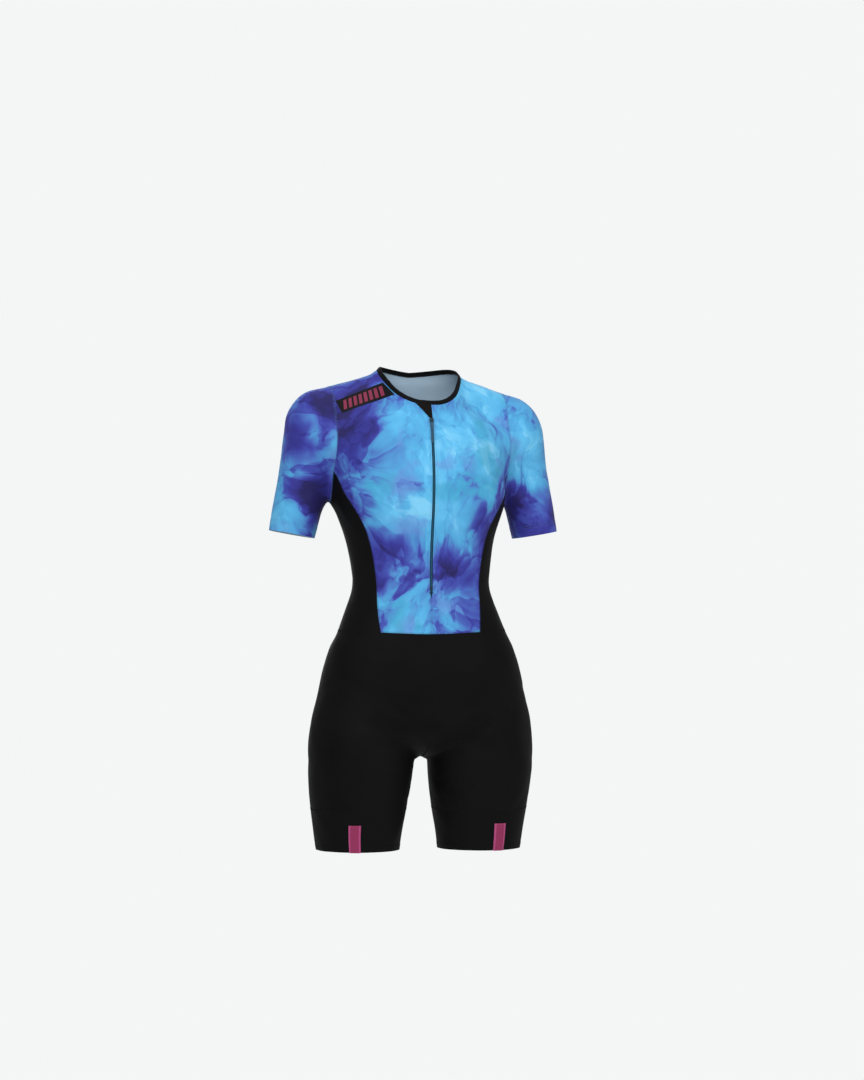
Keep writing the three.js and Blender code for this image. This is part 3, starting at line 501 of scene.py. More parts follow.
# x, y and z at the start, the middle and the end, then width and depth
FINE_CREASES = creases(
    (
        # fan from the front of the underarm over the chest
        (150, -32, -184, 122, -82, -158, 88, -100, -138, 6.0, 0.85),
        (150, -28, -204, 124, -82, -204, 84, -106, -212, 6.0, 0.80),
        (148, -20, -214, 130, -70, -226, 100, -98, -246, 5.5, 0.65),
        (149, -30, -172, 134, -66, -142, 112, -82, -112, 6.5, 0.55),
        # fan from the back of the underarm over the shoulder blade
        (150, 74, -180, 122, 98, -146, 84, 100, -118, 6.5, 0.85),
        (150, 66, -202, 124, 94, -196, 80, 104, -188, 6.5, 0.80),
        (148, 56, -218, 128, 84, -228, 92, 94, -244, 6.0, 0.70),
        (60, 96, -96, 30, 99, -112, 0, 101, -116, 10.0, 0.55),
        # inside of the sleeve
        (160, -2, -232, 190, -6, -214, 226, 6, -208, 6.0, 0.95),
        (160, 4, -248, 188, -2, -238, 214, 2, -242, 5.5, 0.75),
        (166, -14, -196, 192, -20, -176, 222, -6, -150, 7.0, 0.75),
        (160, 76, -230, 190, 86, -206, 224, 82, -200, 6.5, 0.90),
        (160, 72, -250, 188, 82, -240, 216, 78, -246, 6.0, 0.70),
        (172, -10, -160, 190, -18, -132, 204, -2, -104, 8.0, 0.55),
        (236, 10, -262, 242, 36, -256, 240, 66, -260, 7.0, 0.45),
        # waist, front and side
        (116, -40, -334, 92, -80, -346, 54, -98, -342, 7.0, 0.60),
        (118, -34, -362, 94, -78, -378, 48, -98, -384, 7.5, 0.75),
        (126, -30, -398, 104, -76, -410, 70, -98, -412, 7.0, 0.55),
        (117, 14, -322, 100, 50, -334, 66, 70, -338, 7.0, 0.70),
        (118, 8, -372, 98, 48, -386, 56, 66, -392, 7.5, 0.85),
        (128, 12, -402, 106, 52, -418, 60, 74, -424, 7.5, 0.70),
        # hollow of the back
        (70, 70, -352, 34, 72, -362, 0, 73, -360, 10.0, 0.80),
        (84, 66, -384, 42, 70, -396, 0, 71, -398, 10.0, 0.90),
        (96, 72, -424, 50, 80, -436, 6, 84, -434, 9.0, 0.55),
        # hip and front of the crotch
        (14, -86, -628, 62, -98, -604, 118, -90, -566, 8.0, 0.75),
        (10, -90, -606, 48, -102, -584, 96, -98, -548, 8.5, 0.50),
        (26, -70, -664, 66, -90, -646, 120, -82, -630, 8.0, 0.60),
        (150, -66, -520, 168, -36, -540, 178, 0, -548, 10.0, 0.45),
        # seat and back of the thigh
        (14, 108, -632, 60, 120, -640, 124, 108, -652, 8.0, 0.75),
        (22, 88, -676, 70, 104, -690, 132, 92, -688, 8.0, 0.80),
        (24, 70, -706, 74, 96, -716, 138, 80, -708, 7.5, 0.50),
        (40, 106, -560, 70, 114, -590, 84, 120, -622, 12.0, 0.45),
        # inside and front of the thigh
        (18, 6, -704, 30, -50, -694, 62, -80, -682, 7.0, 0.70),
        (22, 10, -728, 36, -46, -730, 74, -76, -724, 7.0, 0.45),
        (190, -20, -690, 176, -60, -704, 140, -78, -712, 9.0, 0.45),
    )
)
FINE_CREASES += creases([(30, -104, -250, 60, -106, -262, 96, -94, -258, 8.0, 0.50)], Side.LEFT)
FINE_CREASES += creases(
    (
        (22, -104, -296, 54, -102, -286, 88, -86, -292, 8.0, 0.55),
        (20, -98, -150, 52, -98, -158, 88, -92, -152, 9.0, 0.45),
    ),
    Side.RIGHT,
)
FINE_CREASES += creases([(60, -104, -470, 100, -92, -478, 140, -50, -470, 9.0, 0.45)], Side.LEFT)
FINE_CREASES += creases([(50, -106, -486, 92, -98, -480, 136, -60, -492, 9.0, 0.40)], Side.RIGHT)


class Cloth:
    """The worn cloth: the even form with its creases, in the suit's pose, in metres."""

    ZIP_CLEAR = (7.0, 18.0)
    ZIP_BOTTOM = -383.0
    ZIP_FADE = 12.0
    FRONT_Y = (20.0, 50.0)
    FINE_GAIN = 1.35
    RIPPLES = 22
    RIPPLE_DEPTH = 0.085
    RIPPLE_LENGTHS = (24.0, 78.0)
    SEED = 7
    TURNED_Z = (-330.0, -60.0)
    TURN = 0.05
    TURN_Y = 10.0
    DROP = 0.029
    HIP_Z = -590.0
    HIP_REACH = 200.0
    HIP_SHIFT = 3.5

    def __init__(self, figure: Figure) -> None:
        """Keeps the form and seeds the slow ripples.

        Args:
            figure: the even form.
        """
        self.figure = figure
        chance = np.random.default_rng(self.SEED)
        heading = unit(chance.normal(size=(self.RIPPLES, 3)))
        lengths = chance.uniform(*self.RIPPLE_LENGTHS, (self.RIPPLES, 1))
        self.waves = heading * (2 * np.pi / lengths)
        self.phases = chance.uniform(0.0, 2 * np.pi, self.RIPPLES)

    def relief(self, p: Array) -> Array:
        """How far the cloth stands from the even form: creases and the sum of slow sine ripples.

        The fine creases and the ripples fade out beside the zip, which stays flat.

        Args:
            p: points on the form.

        Returns:
            Millimetres out from the form.
        """
        shape = p.shape[:-1]
        p = p.reshape(-1, 3)
        fine, main = np.zeros(len(p)), np.zeros(len(p))
        for sign in (1, -1):
            there = p[:, 0] * sign >= 0
            q = mirrored(p[there], sign)
            for number, crease in enumerate(MAIN_CREASES):
                main[there] += crease.depth_at(q, number)
            for number, crease in enumerate(FINE_CREASES):
                if crease.side is Side.BOTH or crease.side.value == sign:
                    fine[there] += crease.on_side(sign, number).depth_at(q, number)
        ripples = np.sin(p @ self.waves.T + self.phases).sum(1)
        fine = self.FINE_GAIN * fine + self.RIPPLE_DEPTH * ripples
        beside = smoothstep(p[:, 2], self.ZIP_BOTTOM - self.ZIP_FADE, self.ZIP_BOTTOM)
        front = smoothstep(-p[:, 1], *self.FRONT_Y) * beside
        fine *= 1.0 - front * (1.0 - smoothstep(np.abs(p[:, 0]), *self.ZIP_CLEAR))
        return (main + fine).reshape(shape)

    def posed(self, p: Array) -> Array:
        """Puts points of the even form in the pose.

        The shoulders turn and drop a little, more the higher they are, and the hips lie over to one
        side by a bell about their height.

        Args:
            p: points, in millimetres.

        Returns:
            The points in the pose, in millimetres.
        """
        share = smoothstep(p[..., 2], *self.TURNED_Z)
        hips = np.maximum(1.0 - ((p[..., 2] - self.HIP_Z) / self.HIP_REACH) ** 2, 0.0) ** 2
        x = p[..., 0] - self.TURN * share * (p[..., 1] - self.TURN_Y) + self.HIP_SHIFT * hips
        y = p[..., 1] + self.TURN * share * p[..., 0]
        z = p[..., 2] - self.DROP * share * p[..., 0]
        return np.stack([x, y, z], -1)

    def placed(self, p: Array, lift: Array | float = 0.0) -> Array:
        """Points as they lie in the worn suit, lifted off its face, in metres."""
        out = self.relief(p) + lift
        return MM * self.posed(p + self.figure.normal(p) * out[..., None])


@dataclass
class Cut:
    """The cutting lines and the panels between them, on the even form, for the wearer's left."""

    figure: Figure
    neck_front: int = 10 * FINE
    neck_back: int = 10 * FINE
    shoulder: int = 4 * FINE
    armhole_front: int = 10 * FINE
    armhole_under: int = 4 * FINE
    side: int = 13 * FINE
    side_crowding: float = 1.3
    sleeve: int = 12 * FINE
    hip: int = 10 * FINE
    thigh: int = 7 * FINE
    inseam_crowding: float = 1.15
    band: int = 5 * FINE
    row_z: tuple[float, float] = (-98.0, -200.0)
    waist_z: float = -443.0
    waist_smile: float = 5.0
    band_z: float = -746.0
    hem_z: float = -815.0
    arm: tuple[Point, ...] = ((151, 30, -128), (186, 31, -150), (214, 40, -281))
    fan: tuple[float, float] = (151.0, -292.0)
    zip_edge_x: float = 2.6
    tape_end_z: float = -379.0
    closing: tuple[float, float] = (-12.0, 2.0)
    binding_width: float = 8.0
    neck_radius: float = 70.0
    neck_centre_y: float = 8.0
    neck_point_turn: float = 97.0
    hub_above_crotch: float = 62.0
    level_share: float = 0.62
    leg_above_crotch: float = 60.0
    inseam_drop: float = 5.0
    crotch_rows: tuple[float, float, float] = (-640.0, -640.0, -646.0)

    def __post_init__(self) -> None:
        """Works out all seams, then the panels between them."""
        self.ring = 2 * (self.armhole_front + self.armhole_under)
        self.leg_points = self.neck_front + 2 * self.armhole_under + self.neck_back
        self.neckline = Table(NECKLINE)
        self.neck_top, self.neck_seam = self.neck_edges()
        self.armhole = armhole = self.sleeve_rings(np.array([0.0]))[0]
        half, under = self.ring // 2, self.armhole_under
        ends = self.neck_seam[self.neck_front], armhole[half]
        self.shoulder_seam = self.figure.settle(lerp(*ends, steps(self.shoulder)[:, None]))
        self.shoulder_seam[[0, -1]] = ends
        armhole_front = armhole[under : half + 1][::-1]
        armhole_back = armhole[half : self.ring - under + 1]
        armhole_low = [armhole[: under + 1][::-1], armhole[self.ring - under : self.ring][::-1]]
        self.front_side = self.side_seam(armhole_front[-1], FRONT_SIDE_SEAM)
        self.back_side = self.side_seam(armhole_back[-1], BACK_SIDE_SEAM)
        front_turn, back_turn = FRONT_SIDE_SEAM[-1][1], BACK_SIDE_SEAM[-1][1]
        self.waist_front = self.waist_points(front_turn * steps(self.neck_front))
        self.waist_side = self.waist_points(lerp(front_turn, back_turn, steps(2 * under)))
        self.waist_back = self.waist_points(lerp(back_turn, 180.0, steps(self.neck_back)))
        self.front_side[-1], self.back_side[-1] = self.waist_front[-1], self.waist_back[0]
        front_edge = self.joined(self.shoulder_seam, armhole_front, self.front_side)
        back_edge = self.joined(self.shoulder_seam, armhole_back, self.back_side)
        levels = self.row_levels(self.neck_seam[0, 2], self.waist_z - self.waist_smile)
        closed = smoothstep(levels, *(self.tape_end_z + reach for reach in self.closing))
        self.zip_edge = self.figure.front_point(self.zip_edge_x * closed, levels)
        self.waist_front[0] = self.zip_edge[-1]
        levels = self.row_levels(self.neck_seam[-1, 2], self.waist_z)
        centre_back = self.figure.trunk_point(levels, 180.0)
        centre_back[0] = self.neck_seam[-1]
        neck_front, neck_back = np.split(self.neck_seam, [self.neck_front])
        neck_front = np.concatenate([neck_front, neck_back[:1]])
        self.front = self.patch(self.zip_edge, front_edge, neck_front, self.waist_front)
        low = np.concatenate(armhole_low)
        self.side_panel = self.patch(self.front_side, self.back_side, low, self.waist_side)
        half_back = self.patch(back_edge, centre_back, neck_back, self.waist_back)
        self.back = np.concatenate([half_back, mirrored(half_back[:, ::-1])[:, 1:]], axis=1)
        self.sleeve_panel = self.sleeve_rings(steps(self.sleeve))
        self.shorts = self.shorts_panel()
        self.leg_band = self.leg_rings(lerp(self.band_z, self.hem_z, steps(self.band)))

    @staticmethod
    def joined(first: Array, *rest: Array) -> Array:
        """Lines end to end, each of which starts where the one before it ends."""
        return np.concatenate([first, *(line[1:] for line in rest)])

    def row_levels(self, top: float, bottom: float) -> Array:
        """Heights of the rows of a front or a half back at its middle."""
        joints = np.cumsum([0, self.shoulder, self.armhole_front, self.side])
        return np.interp(np.arange(joints[-1] + 1), joints, [top, *self.row_z, bottom])

    def neck_edges(self) -> tuple[Array, Array]:
        """The top edge of the neck, by rays from its middle, and the seam a binding below it.

        Returns:
            Points of both, from the zip to the centre back.
        """
        start = math.degrees(math.asin(self.zip_edge_x / self.neck_radius))
        front = lerp(start, self.neck_point_turn, steps(self.neck_front))
        back = lerp(self.neck_point_turn, 180.0, steps(self.neck_back))
        turns = self.joined(front, back)
        top = self.neck_at(turns)
        along = unit(self.neck_at(np.minimum(turns + 1.0, 180.0)) - self.neck_at(turns - 1.0))
        down = unit(np.cross(self.figure.normal(top), along))
        down[-1, 0] = 0.0
        down *= np.where(down[:, 2:] > 0, -1.0, 1.0)
        seam = self.figure.settle(top + down * self.binding_width)
        seam[0] = self.figure.front_point(self.zip_edge_x, seam[0, 2])
        return top, seam

    def neck_at(self, turns: Array) -> Array:
        """Points of the neckline at some turns from the centre front.

        Args:
            turns: degrees.

        Returns:
            Points on the form.
        """
        z = self.neckline.at(turns)[0]
        start = np.stack([np.zeros_like(z), np.full_like(z, self.neck_centre_y), z], -1)
        return self.figure.ray(start, turn_direction(turns))

    def sleeve_rings(self, share: Array) -> Array:
        """Rings round the sleeve, from the underarm past the front and over the top.

        The ring's centre runs along a quadratic curve from the armhole to the hem. Its plane fans
        about a level line under the armhole. Rays in that plane meet the form, and their turns are
        picked so that the points lie at even lengths round the ring.

        Args:
            share: place of each ring, 0 at the armhole and 1 at the hem.

        Returns:
            Points, a row for each ring, whose last is its first again.
        """
        share = np.asarray(share, float)[:, None]
        a, b, c = np.array(self.arm, float)
        centre = (1 - share) ** 2 * a + 2 * share * (1 - share) * b + share**2 * c
        tilt = np.arctan2(centre[:, 2] - self.fan[1], centre[:, 0] - self.fan[0])
        outward = np.stack([np.cos(tilt), np.zeros_like(tilt), np.sin(tilt)], -1)

        def points(turns: Array) -> Array:
            """Where the rays of a section leave the form.

            Args:
                turns: radians from the underarm past the front, a row for each ring.

            Returns:
                Points, in the same rows.
            """
            heading = -outward[:, None] * np.cos(turns)[..., None]
            heading = heading - np.array([0.0, 1.0, 0.0]) * np.sin(turns)[..., None]
            return self.figure.ray(np.broadcast_to(centre[:, None], heading.shape), heading)

        turns = 2 * np.pi * steps(2 * self.ring)
        even = []
        for line in points(np.broadcast_to(turns, (len(share), len(turns)))):
            lengths = lengths_along(line)
            even.append(np.interp(steps(self.ring), lengths / lengths[-1], turns))
        return points(np.array(even))

    def side_seam(self, start: Array, table: Sequence[Sequence[float]]) -> Array:
        """A seam of the side panel, from its place on the armhole down to the waist.

        Args:
            start: where it leaves the armhole.
            table: its turns below that.

        Returns:
            Points on the trunk, closer together towards the top.
        """
        middle = self.figure.trunk.at(start[2])[3]
        turns = Table([(start[2], math.degrees(math.atan2(start[0], middle - start[1]))), *table])
        z = lerp(start[2], self.waist_z, steps(self.side) ** self.side_crowding)
        line = self.figure.trunk_point(z, turns.at(z)[0])
        line[0] = start
        return line

    def waist_points(self, turns: Array) -> Array:
        """The waist seam at some turns, a little lower at the centre front."""
        dip = self.waist_smile * np.maximum(np.cos(np.radians(turns)), 0.0) ** 2
        return self.figure.trunk_point(self.waist_z - dip, turns)

    def patch(self, left: Array, right: Array, top: Array, bottom: Array) -> Array:
        """The surface between four edges: their blend, less the corners', settled on the form.

        Args:
            left: the edge of the first column.
            right: the edge of the last column.
            top: the edge of the first row.
            bottom: the edge of the last row.

        Returns:
            Points in rows and columns.
        """
        u, v = (
            lengths / lengths[-1]
            for lengths in (
                lengths_along(top) + lengths_along(bottom),
                lengths_along(left) + lengths_along(right),
            )
        )
        u, v = u[None, :, None], v[:, None, None]
        across = lerp(left[:, None], right[:, None], u)
        down = lerp(top[None], bottom[None], v)
        corners = lerp(lerp(top[0], top[-1], u), lerp(bottom[0], bottom[-1], u), v)
        grid = self.figure.settle(across + down - corners)
        grid[:, 0], grid[:, -1] = left, right
        grid[0], grid[-1] = top, bottom
        return grid

    def rise(self, start: Array, turn: float) -> Array:
        """The centre seam of the shorts: level rays down the trunk, then rays that fan under it.

        Args:
            start: its place on the waist seam.
            turn: 0 for the front and 180 for the back.

        Returns:
            Points from the waist to the crotch.
        """
        figure = self.figure
        hub = np.array([0.0, figure.CROTCH_MID_Y, figure.CROTCH_Z + self.hub_above_crotch])
        t, level = steps(self.hip), self.level_share
        down = np.pi / 2 * np.clip((t - level) / (1 - level), 0.0, 1.0)
        fan = turn_direction(turn) * np.cos(down)[:, None]
        fan = fan - np.array([0.0, 0.0, 1.0]) * np.sin(down)[:, None]
        low = figure.ray(np.broadcast_to(hub, fan.shape), fan)
        high = figure.trunk_point(lerp(start[2], hub[2], np.minimum(t / level, 1.0)), turn)
        line = np.where((t < level)[:, None], high, low)
        line[0] = start
        return line

    def guide(self, start: Array, crotch_z: float, turn: float) -> Array:
        """A line down the shorts from the waist seam to the band, on the trunk and then on the leg.

        At the side it is found by the trunk's own rays, and elsewhere by rays straight ahead or
        back from a line that leans from the start over to the leg's centre.

        Args:
            start: its place on the waist seam.
            crotch_z: its height at the row of the crotch.
            turn: its turn about the leg.

        Returns:
            Points, a row for each row of the shorts.
        """
        figure = self.figure
        hip, thigh = lerp(start[2], crotch_z, steps(self.hip)), steps(self.thigh)
        z = self.joined(hip, lerp(crotch_z, self.band_z, thigh))
        on_leg = figure.leg_point(z, turn)
        if turn == 90.0:
            on_trunk = figure.trunk_point(z, turn)
        else:
            share = np.minimum(np.arange(len(z)) / self.hip, 1.0)
            x = lerp(start[0], figure.leg.at(z)[0], share)
            inside = np.stack([x, figure.trunk.at(z)[3], z], -1)
            on_trunk = figure.ray(inside, turn_direction(turn))
        on_trunk[0] = start
        return np.where((z < figure.CROTCH_Z + self.leg_above_crotch)[:, None], on_leg, on_trunk)

    def leg_rings(self, z: Array) -> Array:
        """Rings round the leg, from the inseam past the front, the outside and the back."""
        turns = -90.0 + 360.0 * steps(self.leg_points)
        return self.figure.leg_point(np.asarray(z, float)[:, None], turns[None, :])

    def shorts_panel(self) -> Array:
        """The leg panel of the shorts: four patches side by side between its rise and guide lines.

        Returns:
            Points in rows and columns.
        """
        waist = self.joined(self.waist_front, self.waist_side, self.waist_back)
        quarter = self.leg_points // 4
        front, back = self.rise(self.waist_front[0], 0.0), self.rise(self.waist_back[-1], 180.0)
        back[-1] = front[-1]
        share = steps(self.thigh)[1:] ** self.inseam_crowding
        top = self.figure.CROTCH_Z - self.inseam_drop
        inseam = self.figure.leg_point(lerp(top, self.band_z, share), -90.0)
        self.front_rise, self.back_rise = front, back
        self.inseam = np.concatenate([front[-1:], inseam])
        guides = [np.concatenate([front, inseam])]
        for k, crotch_z in enumerate(self.crotch_rows):
            guides.append(self.guide(waist[(k + 1) * quarter], crotch_z, 90.0 * k))
        guides.append(np.concatenate([back, inseam]))
        band_top = self.leg_rings(np.array([self.band_z]))[0]
        patches = []
        for k in range(4):
            columns = slice(k * quarter, (k + 1) * quarter + 1)
            patches.append(self.patch(*guides[k : k + 2], waist[columns], band_top[columns]))
        return np.concatenate([patches[0], *(p[:, 1:] for p in patches[1:])], axis=1)


def grid_corners(rows: int, columns: int, closed: bool) -> tuple[Array, Array]:
    """Row and column of each corner of each face of a grid.

    Args:
        rows: how many rows of points.
        columns: how many columns of points.
        closed: whether the last column joins the first.

    Returns:
        Rows and columns of the corners, four to a face. The column isn't wrapped.
    """
    spans = np.arange(rows - 1), np.arange(columns if closed else columns - 1)
    i, j = (index.ravel() for index in np.meshgrid(*spans, indexing="ij"))
    return np.stack([i, i + 1, i + 1, i], -1), np.stack([j, j, j + 1, j + 1], -1)


def surface_uv(grid: Array, closed: bool) -> Array:
    """Metres along the rows and down the columns of a grid, for patterns that follow the cloth.

    Args:
        grid: points in rows and columns, in metres.
        closed: whether the last column joins the first.

    Returns:
        Two numbers for each point, with one more column on a closed grid.
    """
    if closed:
        grid = np.concatenate([grid, grid[:, :1]], axis=1)
    across = np.linalg.norm(np.diff(grid, axis=1), axis=-1).cumsum(1)
    across = np.concatenate([np.zeros((len(grid), 1)), across], axis=1)
    across -= across.mean(1, keepdims=True)
    down = np.linalg.norm(np.diff(grid, axis=0), axis=-1).cumsum(0)
    down = np.concatenate([np.zeros((1, grid.shape[1])), down], axis=0)
    return np.stack([across, -down], -1)


def linked(made: bpy.types.Object) -> bpy.types.Object:
    """Puts an object into the scene."""
    bpy.context.scene.collection.objects.link(made)
    return made


def add_mesh(
    name: str,
    points: Array,
    faces: Array,
    materials: Sequence[Material],
    face_material: Array | None = None,
    uv: Array | None = None,
    sharp: float | None = 60.0,
) -> bpy.types.Object:
    """Makes an object from arrays, with its place in its mesh.

    Args:
        name: the piece's name.
        points: metres.
        faces: corner numbers, four or three to a face.
        materials: the finishes.
        face_material: which finish each face has.
        uv: two numbers for each corner of each face.
        sharp: edges over this many degrees aren't shaded smooth.

    Returns:
        The object, linked into the scene.
    """
    mesh = bpy.data.meshes.new(name)
    mesh.from_pydata(points.tolist(), [], faces.tolist())
    for material in materials:
        mesh.materials.append(material)
    if face_material is not None:
        mesh.polygons.foreach_set("material_index", face_material.astype(np.int32))
    if uv is not None:
        layer = mesh.uv_layers.new(name="cut")
        layer.uv.foreach_set("vector", uv.astype(np.float32).ravel())
    mesh.shade_smooth()
    if sharp is not None:
        mesh.set_sharp_from_angle(angle=math.radians(sharp))
    mesh.update()
    return linked(bpy.data.objects.new(name, mesh))


def dressed(
    made: bpy.types.Object, node: str | None = None, body: str = "suit"
) -> bpy.types.Object:
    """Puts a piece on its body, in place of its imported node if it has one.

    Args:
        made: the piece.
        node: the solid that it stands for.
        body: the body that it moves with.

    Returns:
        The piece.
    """
    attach(made, body)
    if node is not None:
        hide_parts(node)
    log.info("%s: %d faces", made.name, len(made.data.polygons))
    return made


def wall(
    name: str, outer: Array, inner: Array, materials: Sequence[Material], closed: bool = False
) -> bpy.types.Object:
    """A closed wall between an outer and an inner grid, with a rim along its open edges.

    Args:
        name: the piece's name.
        outer: points of the outer face in rows and columns, metres.
        inner: points of the inner face.
        materials: finish of the outer face and the rim, and that of the inner face.
        closed: whether the last column joins the first.

    Returns:
        The object, its faces pointing out.
    """
    rows, columns = outer.shape[:2]
    points = np.concatenate([outer.reshape(-1, 3), inner.reshape(-1, 3)])
    layer = rows * columns
    ci, cj = grid_corners(rows, columns, closed)
    zero = np.zeros_like(ci)
    # row, column and layer of the corners of each part, and the number of its finish
    parts = [(ci, cj, zero, 0), (ci[:, ::-1], cj[:, ::-1], zero + 1, 1)]
    across = np.arange(columns + 1 if closed else columns)
    down = np.arange(rows)
    edges = [(0 * across, across), (0 * across + rows - 1, across[::-1])]
    if not closed:
        edges += [(down[::-1], 0 * down), (down, 0 * down + columns - 1)]
    for i, j in edges:
        i, j = (np.stack([k[:-1], k[1:], k[1:], k[:-1]], -1) for k in (i, j))
        parts.append((i, j, np.broadcast_to([0, 0, 1, 1], i.shape), 0))
    i, j, k = (np.concatenate([part[axis] for part in parts]) for axis in range(3))
    which = np.concatenate([np.full(len(part[0]), part[3]) for part in parts])
    faces = i * columns + j % columns + k * layer
    a, b, c, d = (points[faces[:, corner]] for corner in range(4))
    volume = (a * np.cross(b, c)).sum() + (a * np.cross(c, d)).sum()
    flip = slice(None, None, -1 if volume < 0 else 1)
    uv = surface_uv(outer, closed)[i, j][:, flip]
    which = np.minimum(which, len(materials) - 1)
    return add_mesh(name, points, faces[:, flip], materials, which, uv.reshape(-1, 2))


def tube_faces(count: int, rings: int, around: int) -> Array:
    """Faces of closed tubes, each of some rings of points, with a fan over both its ends.

    Args:
        count: how many tubes.
        rings: how many rings each has.
        around: how many points a ring has, an even number.

    Returns:
        Corner numbers, four to a face.
    """
    i, j, k = np.meshgrid(*(np.arange(n) for n in (count, rings - 1, around)), indexing="ij")
    turned = (k + 1) % around
    base = (i * rings + j) * around
    corners = [base + k, base + turned, base + around + turned, base + around + k]
    parts = [np.stack(corners, -1).reshape(-1, 4)]
    start = np.arange(count)[:, None] * rings * around
    for ring, flip in ((0, -1), (rings - 1, 1)):
        for first in range(1, around - 1, 2):
            fan = np.array([0, first, first + 1, first + 2])
            parts.append(start + ring * around + (fan[[0, 3, 2, 1]] if flip < 0 else fan))
    return np.concatenate(parts)


class Value:
    """A number that a material works out at each point; Python's operators add its Math nodes."""

    def __init__(self, graph: "Graph", socket: Socket) -> None:
        """Wraps an output of the graph."""
        self.graph = graph
        self.socket = socket

    def math(self, operation: str, *terms: "Value | float") -> "Value":
        """A Math node of this operation on the terms."""
        node = self.graph.node("ShaderNodeMath", {"operation": operation}, dict(enumerate(terms)))
        return Value(self.graph, node.outputs[0])

    def __add__(self, other: "Value | float") -> "Value":
        """The sum."""
        return self.math("ADD", self, other)

    def __radd__(self, other: float) -> "Value":
        """The sum, with a number first."""
        return self.math("ADD", other, self)

    def __sub__(self, other: "Value | float") -> "Value":
        """The difference."""
        return self.math("SUBTRACT", self, other)

    def __mul__(self, other: "Value | float") -> "Value":
        """The product."""
        return self.math("MULTIPLY", self, other)

    def __truediv__(self, other: "Value | float") -> "Value":
        """The quotient."""
        return self.math("DIVIDE", self, other)

    def __abs__(self) -> "Value":
        """The size without its sign."""
        return self.math("ABSOLUTE", self)

    def sine(self) -> "Value":
        """The sine."""
        return self.math("SINE", self)

    def wave(self, pitch: float) -> "Value":
        """A sine from -1 to 1 with a full turn every pitch."""
        return (self * (2 * math.pi / pitch)).sine()

    def ribs(self, pitch: float) -> "Value":
        """A sine from 0 to 1 with a full turn every pitch."""
        return self.wave(pitch) * 0.5 + 0.5

    def share(self) -> "Value":
        """The part after the decimal point."""
        return self.math("FRACT", self)

    def rise(self, low: float, high: float) -> "Value":
        """Zero at low and one at high, with an S curve between them; low may be the greater.

        Args:
            low: where the curve is zero.
            high: where it is one.

        Returns:
            The share.
        """
        settings = {"interpolation_type": "SMOOTHSTEP"}
        terms = {"Value": self, "From Min": low, "From Max": high, "To Min": 0.0, "To Max": 1.0}
        if low > high:
            terms.update({"From Min": high, "From Max": low, "To Min": 1.0, "To Max": 0.0})
        made = self.graph.node("ShaderNodeMapRange", settings, terms)
        return Value(self.graph, made.outputs["Result"])


Term = Value | Socket | float | Sequence[float]


